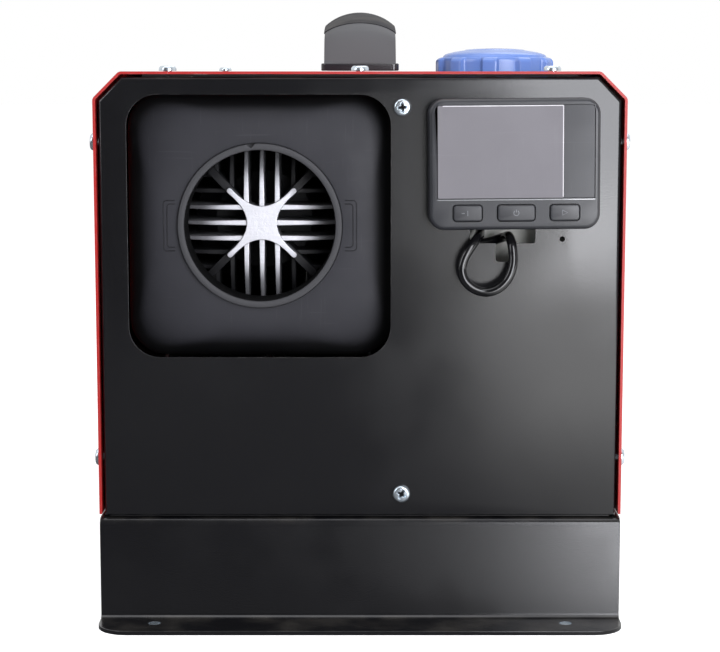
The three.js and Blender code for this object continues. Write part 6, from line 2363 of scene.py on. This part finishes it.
@dataclass
class PanHead:
    """A zinc-plated pan head with a cross recess, one for every screw of the case."""

    radius: float = 4 * MM
    height: float = 2.2 * MM
    land: float = 2.6 * MM
    shank: float = 2 * MM
    shank_length: float = 7 * MM
    slot_length: float = 2.3 * MM
    slot_width: float = 0.95 * MM
    slot_depth: float = 1.5 * MM
    slot_heart: float = 1.4
    slot_floor: Pair = (0.45, 0.5)
    # Painted shade: a near-black cross on each recess's floor, sized as shares of the recess, between these
    # heights.
    shade: Pair = (0.8, 0.85)
    shade_z: Pair = (-0.1 * MM, 0.45 * MM)
    rim_turn: float = 0.12
    rim_height: float = 0.25
    round_steps: int = 6
    bevel: float = 0.08 * MM
    sides: int = 40
    twists: tuple[float, ...] = (12, 47, 75, 31, 60, 5, 83, 22, 68, 40, 15, 54, 78, 36, 9, 63, 27, 50)

    def cross(self, length: float = 1.0, width: float = 1.0) -> Outline:
        """Draws the recess's cross.

        Args:
            length: Share of the recess's length.
            width: Share of the recess's width.

        Returns:
            The outline.
        """
        long, half = length * self.slot_length, width * self.slot_width / 2
        heart = half * self.slot_heart
        outline = []
        for cos, sin in ((1, 0), (0, 1), (-1, 0), (0, -1)):
            quarter = ((long, -half), (long, half), (heart, heart))
            outline += [(u * cos - v * sin, u * sin + v * cos) for u, v in quarter]
        return outline

    @property
    def floor(self) -> float:
        """Height of the recess's floor over the seat."""
        return self.height - self.slot_depth

    def head(self) -> Mesh:
        """Makes one screw about its own +Z axis.

        Returns:
            The mesh.
        """
        rings = [level(circle(self.shank, self.sides), height) for height in (-self.shank_length, 0.0)]
        rings.append(level(circle(self.radius, self.sides), 0.0))
        for step in range(self.round_steps + 1):
            turn = math.pi / 2 * (self.rim_turn + (1 - self.rim_turn) * step / self.round_steps)
            reach = self.land + (self.radius - self.land) * math.cos(turn)
            share = self.rim_height + (1 - self.rim_height) * math.sin(turn)
            rings.append(level(circle(reach, self.sides), self.height * share))
        bm = bmesh.new()
        walls = skin(bm, rings)
        mouth, floor = level(self.cross(), self.height), level(self.cross(*self.slot_floor), self.floor)
        recess = skin(bm, [mouth, floor])
        cover(bm, [walls[0]])
        cover(bm, [walls[-1], recess[0]])
        cover(bm, [recess[-1]])
        return bm

    def seat(self, name: str) -> Matrix:
        """Finds where a screw sits and which way it points, from its node.

        Args:
            name: The node's name.

        Returns:
            The matrix from the screw's frame to the part's.
        """
        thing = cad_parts[name]
        corners = [thing.matrix_world @ Vector(corner) for corner in thing.bound_box]
        low = Vector(tuple(min(c[i] for c in corners) for i in range(3)))
        high = Vector(tuple(max(c[i] for c in corners) for i in range(3)))
        outward = -1 if "front" in name else 1
        ways = {"top": (0, 0, 1), "left": (-1, 0, 0), "right": (1, 0, 0), "panel": (0, outward, 0)}
        way = Vector(ways[name.split("_")[0]])
        middle = (low + high) / 2
        reach = abs((high - low).dot(way)) / 2
        seat = middle + way * (reach - self.height)
        return Matrix.Translation(seat) @ way.to_track_quat("Z", "Y").to_matrix().to_4x4()

    def build(self) -> None:
        """Makes every screw of the case and the painted shade on the floors of their recesses."""
        names = sorted(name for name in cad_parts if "_screw_" in name)
        shades = []
        for name, twist in zip(names, self.twists, strict=True):
            place = self.seat(name) @ Matrix.Rotation(math.radians(twist), 4, "Z")
            screw = placed(self.head(), place)
            workshop.piece(f"{name}_head", screw, ZINC, replaces=(name,), bevel=self.bevel)
            outline = self.cross(*self.shade)
            shades.append(placed(pierced([level(outline, self.floor + z) for z in self.shade_z]), place))
        workshop.piece("screw_recess_shades", merged(shades), SHADED)


# ---- small fittings of the sheets ----


@dataclass
class SheetFittings:
    """The foam strips under the top sheet, and bright metal rims in the stand's fixing holes, painted as the
    light seen through them.
    """

    strip_half: float = 98 * MM
    strip_z: Pair = (250.6 * MM, 251.75 * MM)
    strip_y: Pair = (186 * MM, 196 * MM)
    hole_x: float = 94.3 * MM
    hole_y: float = 209.6 * MM
    hole_radius: float = 3 * MM
    hole_wall: float = 0.3 * MM
    hole_sides: int = 40
    hole_z: Pair = (0.1 * MM, 1.9 * MM)

    def strip(self, side: int) -> Mesh:
        """Makes one foam strip.

        Args:
            side: -1 for the front, 1 for the rear.

        Returns:
            The mesh.
        """
        half = self.strip_half
        near, far = (side * y for y in self.strip_y)
        plan = [(-half, near), (half, near), (half, far), (-half, far)]
        return pierced([level(plan, z) for z in self.strip_z])

    def rim(self, x: float, y: float) -> Mesh:
        """Makes the bright rim of one fixing hole: metal that reflects the lamps, and a painted highlight
        for the light seen through the hole.

        Args:
            x: X of its middle.
            y: Y of its middle.

        Returns:
            The mesh.
        """
        outer, inner = self.hole_radius, self.hole_radius - self.hole_wall
        low, high = self.hole_z
        section = ((inner, low), (outer, low), (outer, high), (inner, high))
        return wound([level(circle(radius, self.hole_sides), z, x, y) for radius, z in section])

    def build(self) -> None:
        """Makes the strips and the rims."""
        workshop.piece("foam_strips", merged(self.strip(side) for side in (-1, 1)), RUBBER)
        # Painted highlight: bright metal rims in the flange holes stand for the pale floor seen through
        # them.
        rims = [self.rim(x, y) for x in (-self.hole_x, self.hole_x) for y in (-self.hole_y, self.hole_y)]
        workshop.piece("stand_hole_highlights", merged(rims), ZINC)


# ---- CAD nodes that keep their shape ----


@dataclass
class Dressing:
    """Finishes for the CAD nodes that stay.

    Attributes:
        sheets: Edge rounding of sheet metal.
        edges: Edge rounding of castings, turned parts and mouldings.
        board: Edge rounding of the circuit board.
        blown: Edge rounding of the tank and the filter.
    """

    sheets: float = 0.35 * MM
    edges: float = 0.5 * MM
    board: float = 0.2 * MM
    blown: float = 0.8 * MM

    def plan(self) -> list[tuple[Finish, float, Sequence[str]]]:
        """Lists finishes with their edge rounding and nodes.

        Returns:
            The plan.
        """
        return [
            (RED_PAINT, self.sheets, ("outer_shell",)),
            (BLACK_PAINT, self.sheets, ("front_panel", "rear_panel", "floor_tray", "base_stand")),
            (GALVANISED, self.sheets, ("partition_plate", "heater_shelf")),
            (DARK_PLASTIC, self.edges, (
                "heater_jacket_upper", "heater_jacket_lower", "inlet_cowl", "fan_wheel", "air_intake_pipe",
                "power_gland",
            )),
            (CAST_SKIN, self.edges, ("blower_body", "combustion_wheel")),
            (STEEL, self.edges, ("burner_tube", "blower_motor", "motor_shaft", "exhaust_pipe", "fuel_pump")),
            (BOARD, self.board, ("control_board",)),
            (RUBBER, 0.0, (
                "mounting_gasket", "pump_clamp", "suction_hose", "pump_hose", "delivery_hose", "cap_seal",
            )),
            (MILKY_PLASTIC, self.blown, ("fuel_tank", "fuel_filter")),
        ]

    def build(self) -> None:
        """Dresses the nodes."""
        for finish, bevel, names in self.plan():
            for name in names:
                workshop.node(name, finish, bevel)


def main() -> None:
    """Builds every sub-assembly in order."""
    Studio().build()
    DisplayLead().build()
    fronts = (Hood(), Collar(), Exchanger(), Display())
    tops = (FuelCap(), Handle(), PanHead(), SheetFittings(), Dressing())
    for part in (*fronts, *tops):
        part.build()
    log.info("%d pieces made", len(workshop.made))


if __name__ == "__main__":
    main()
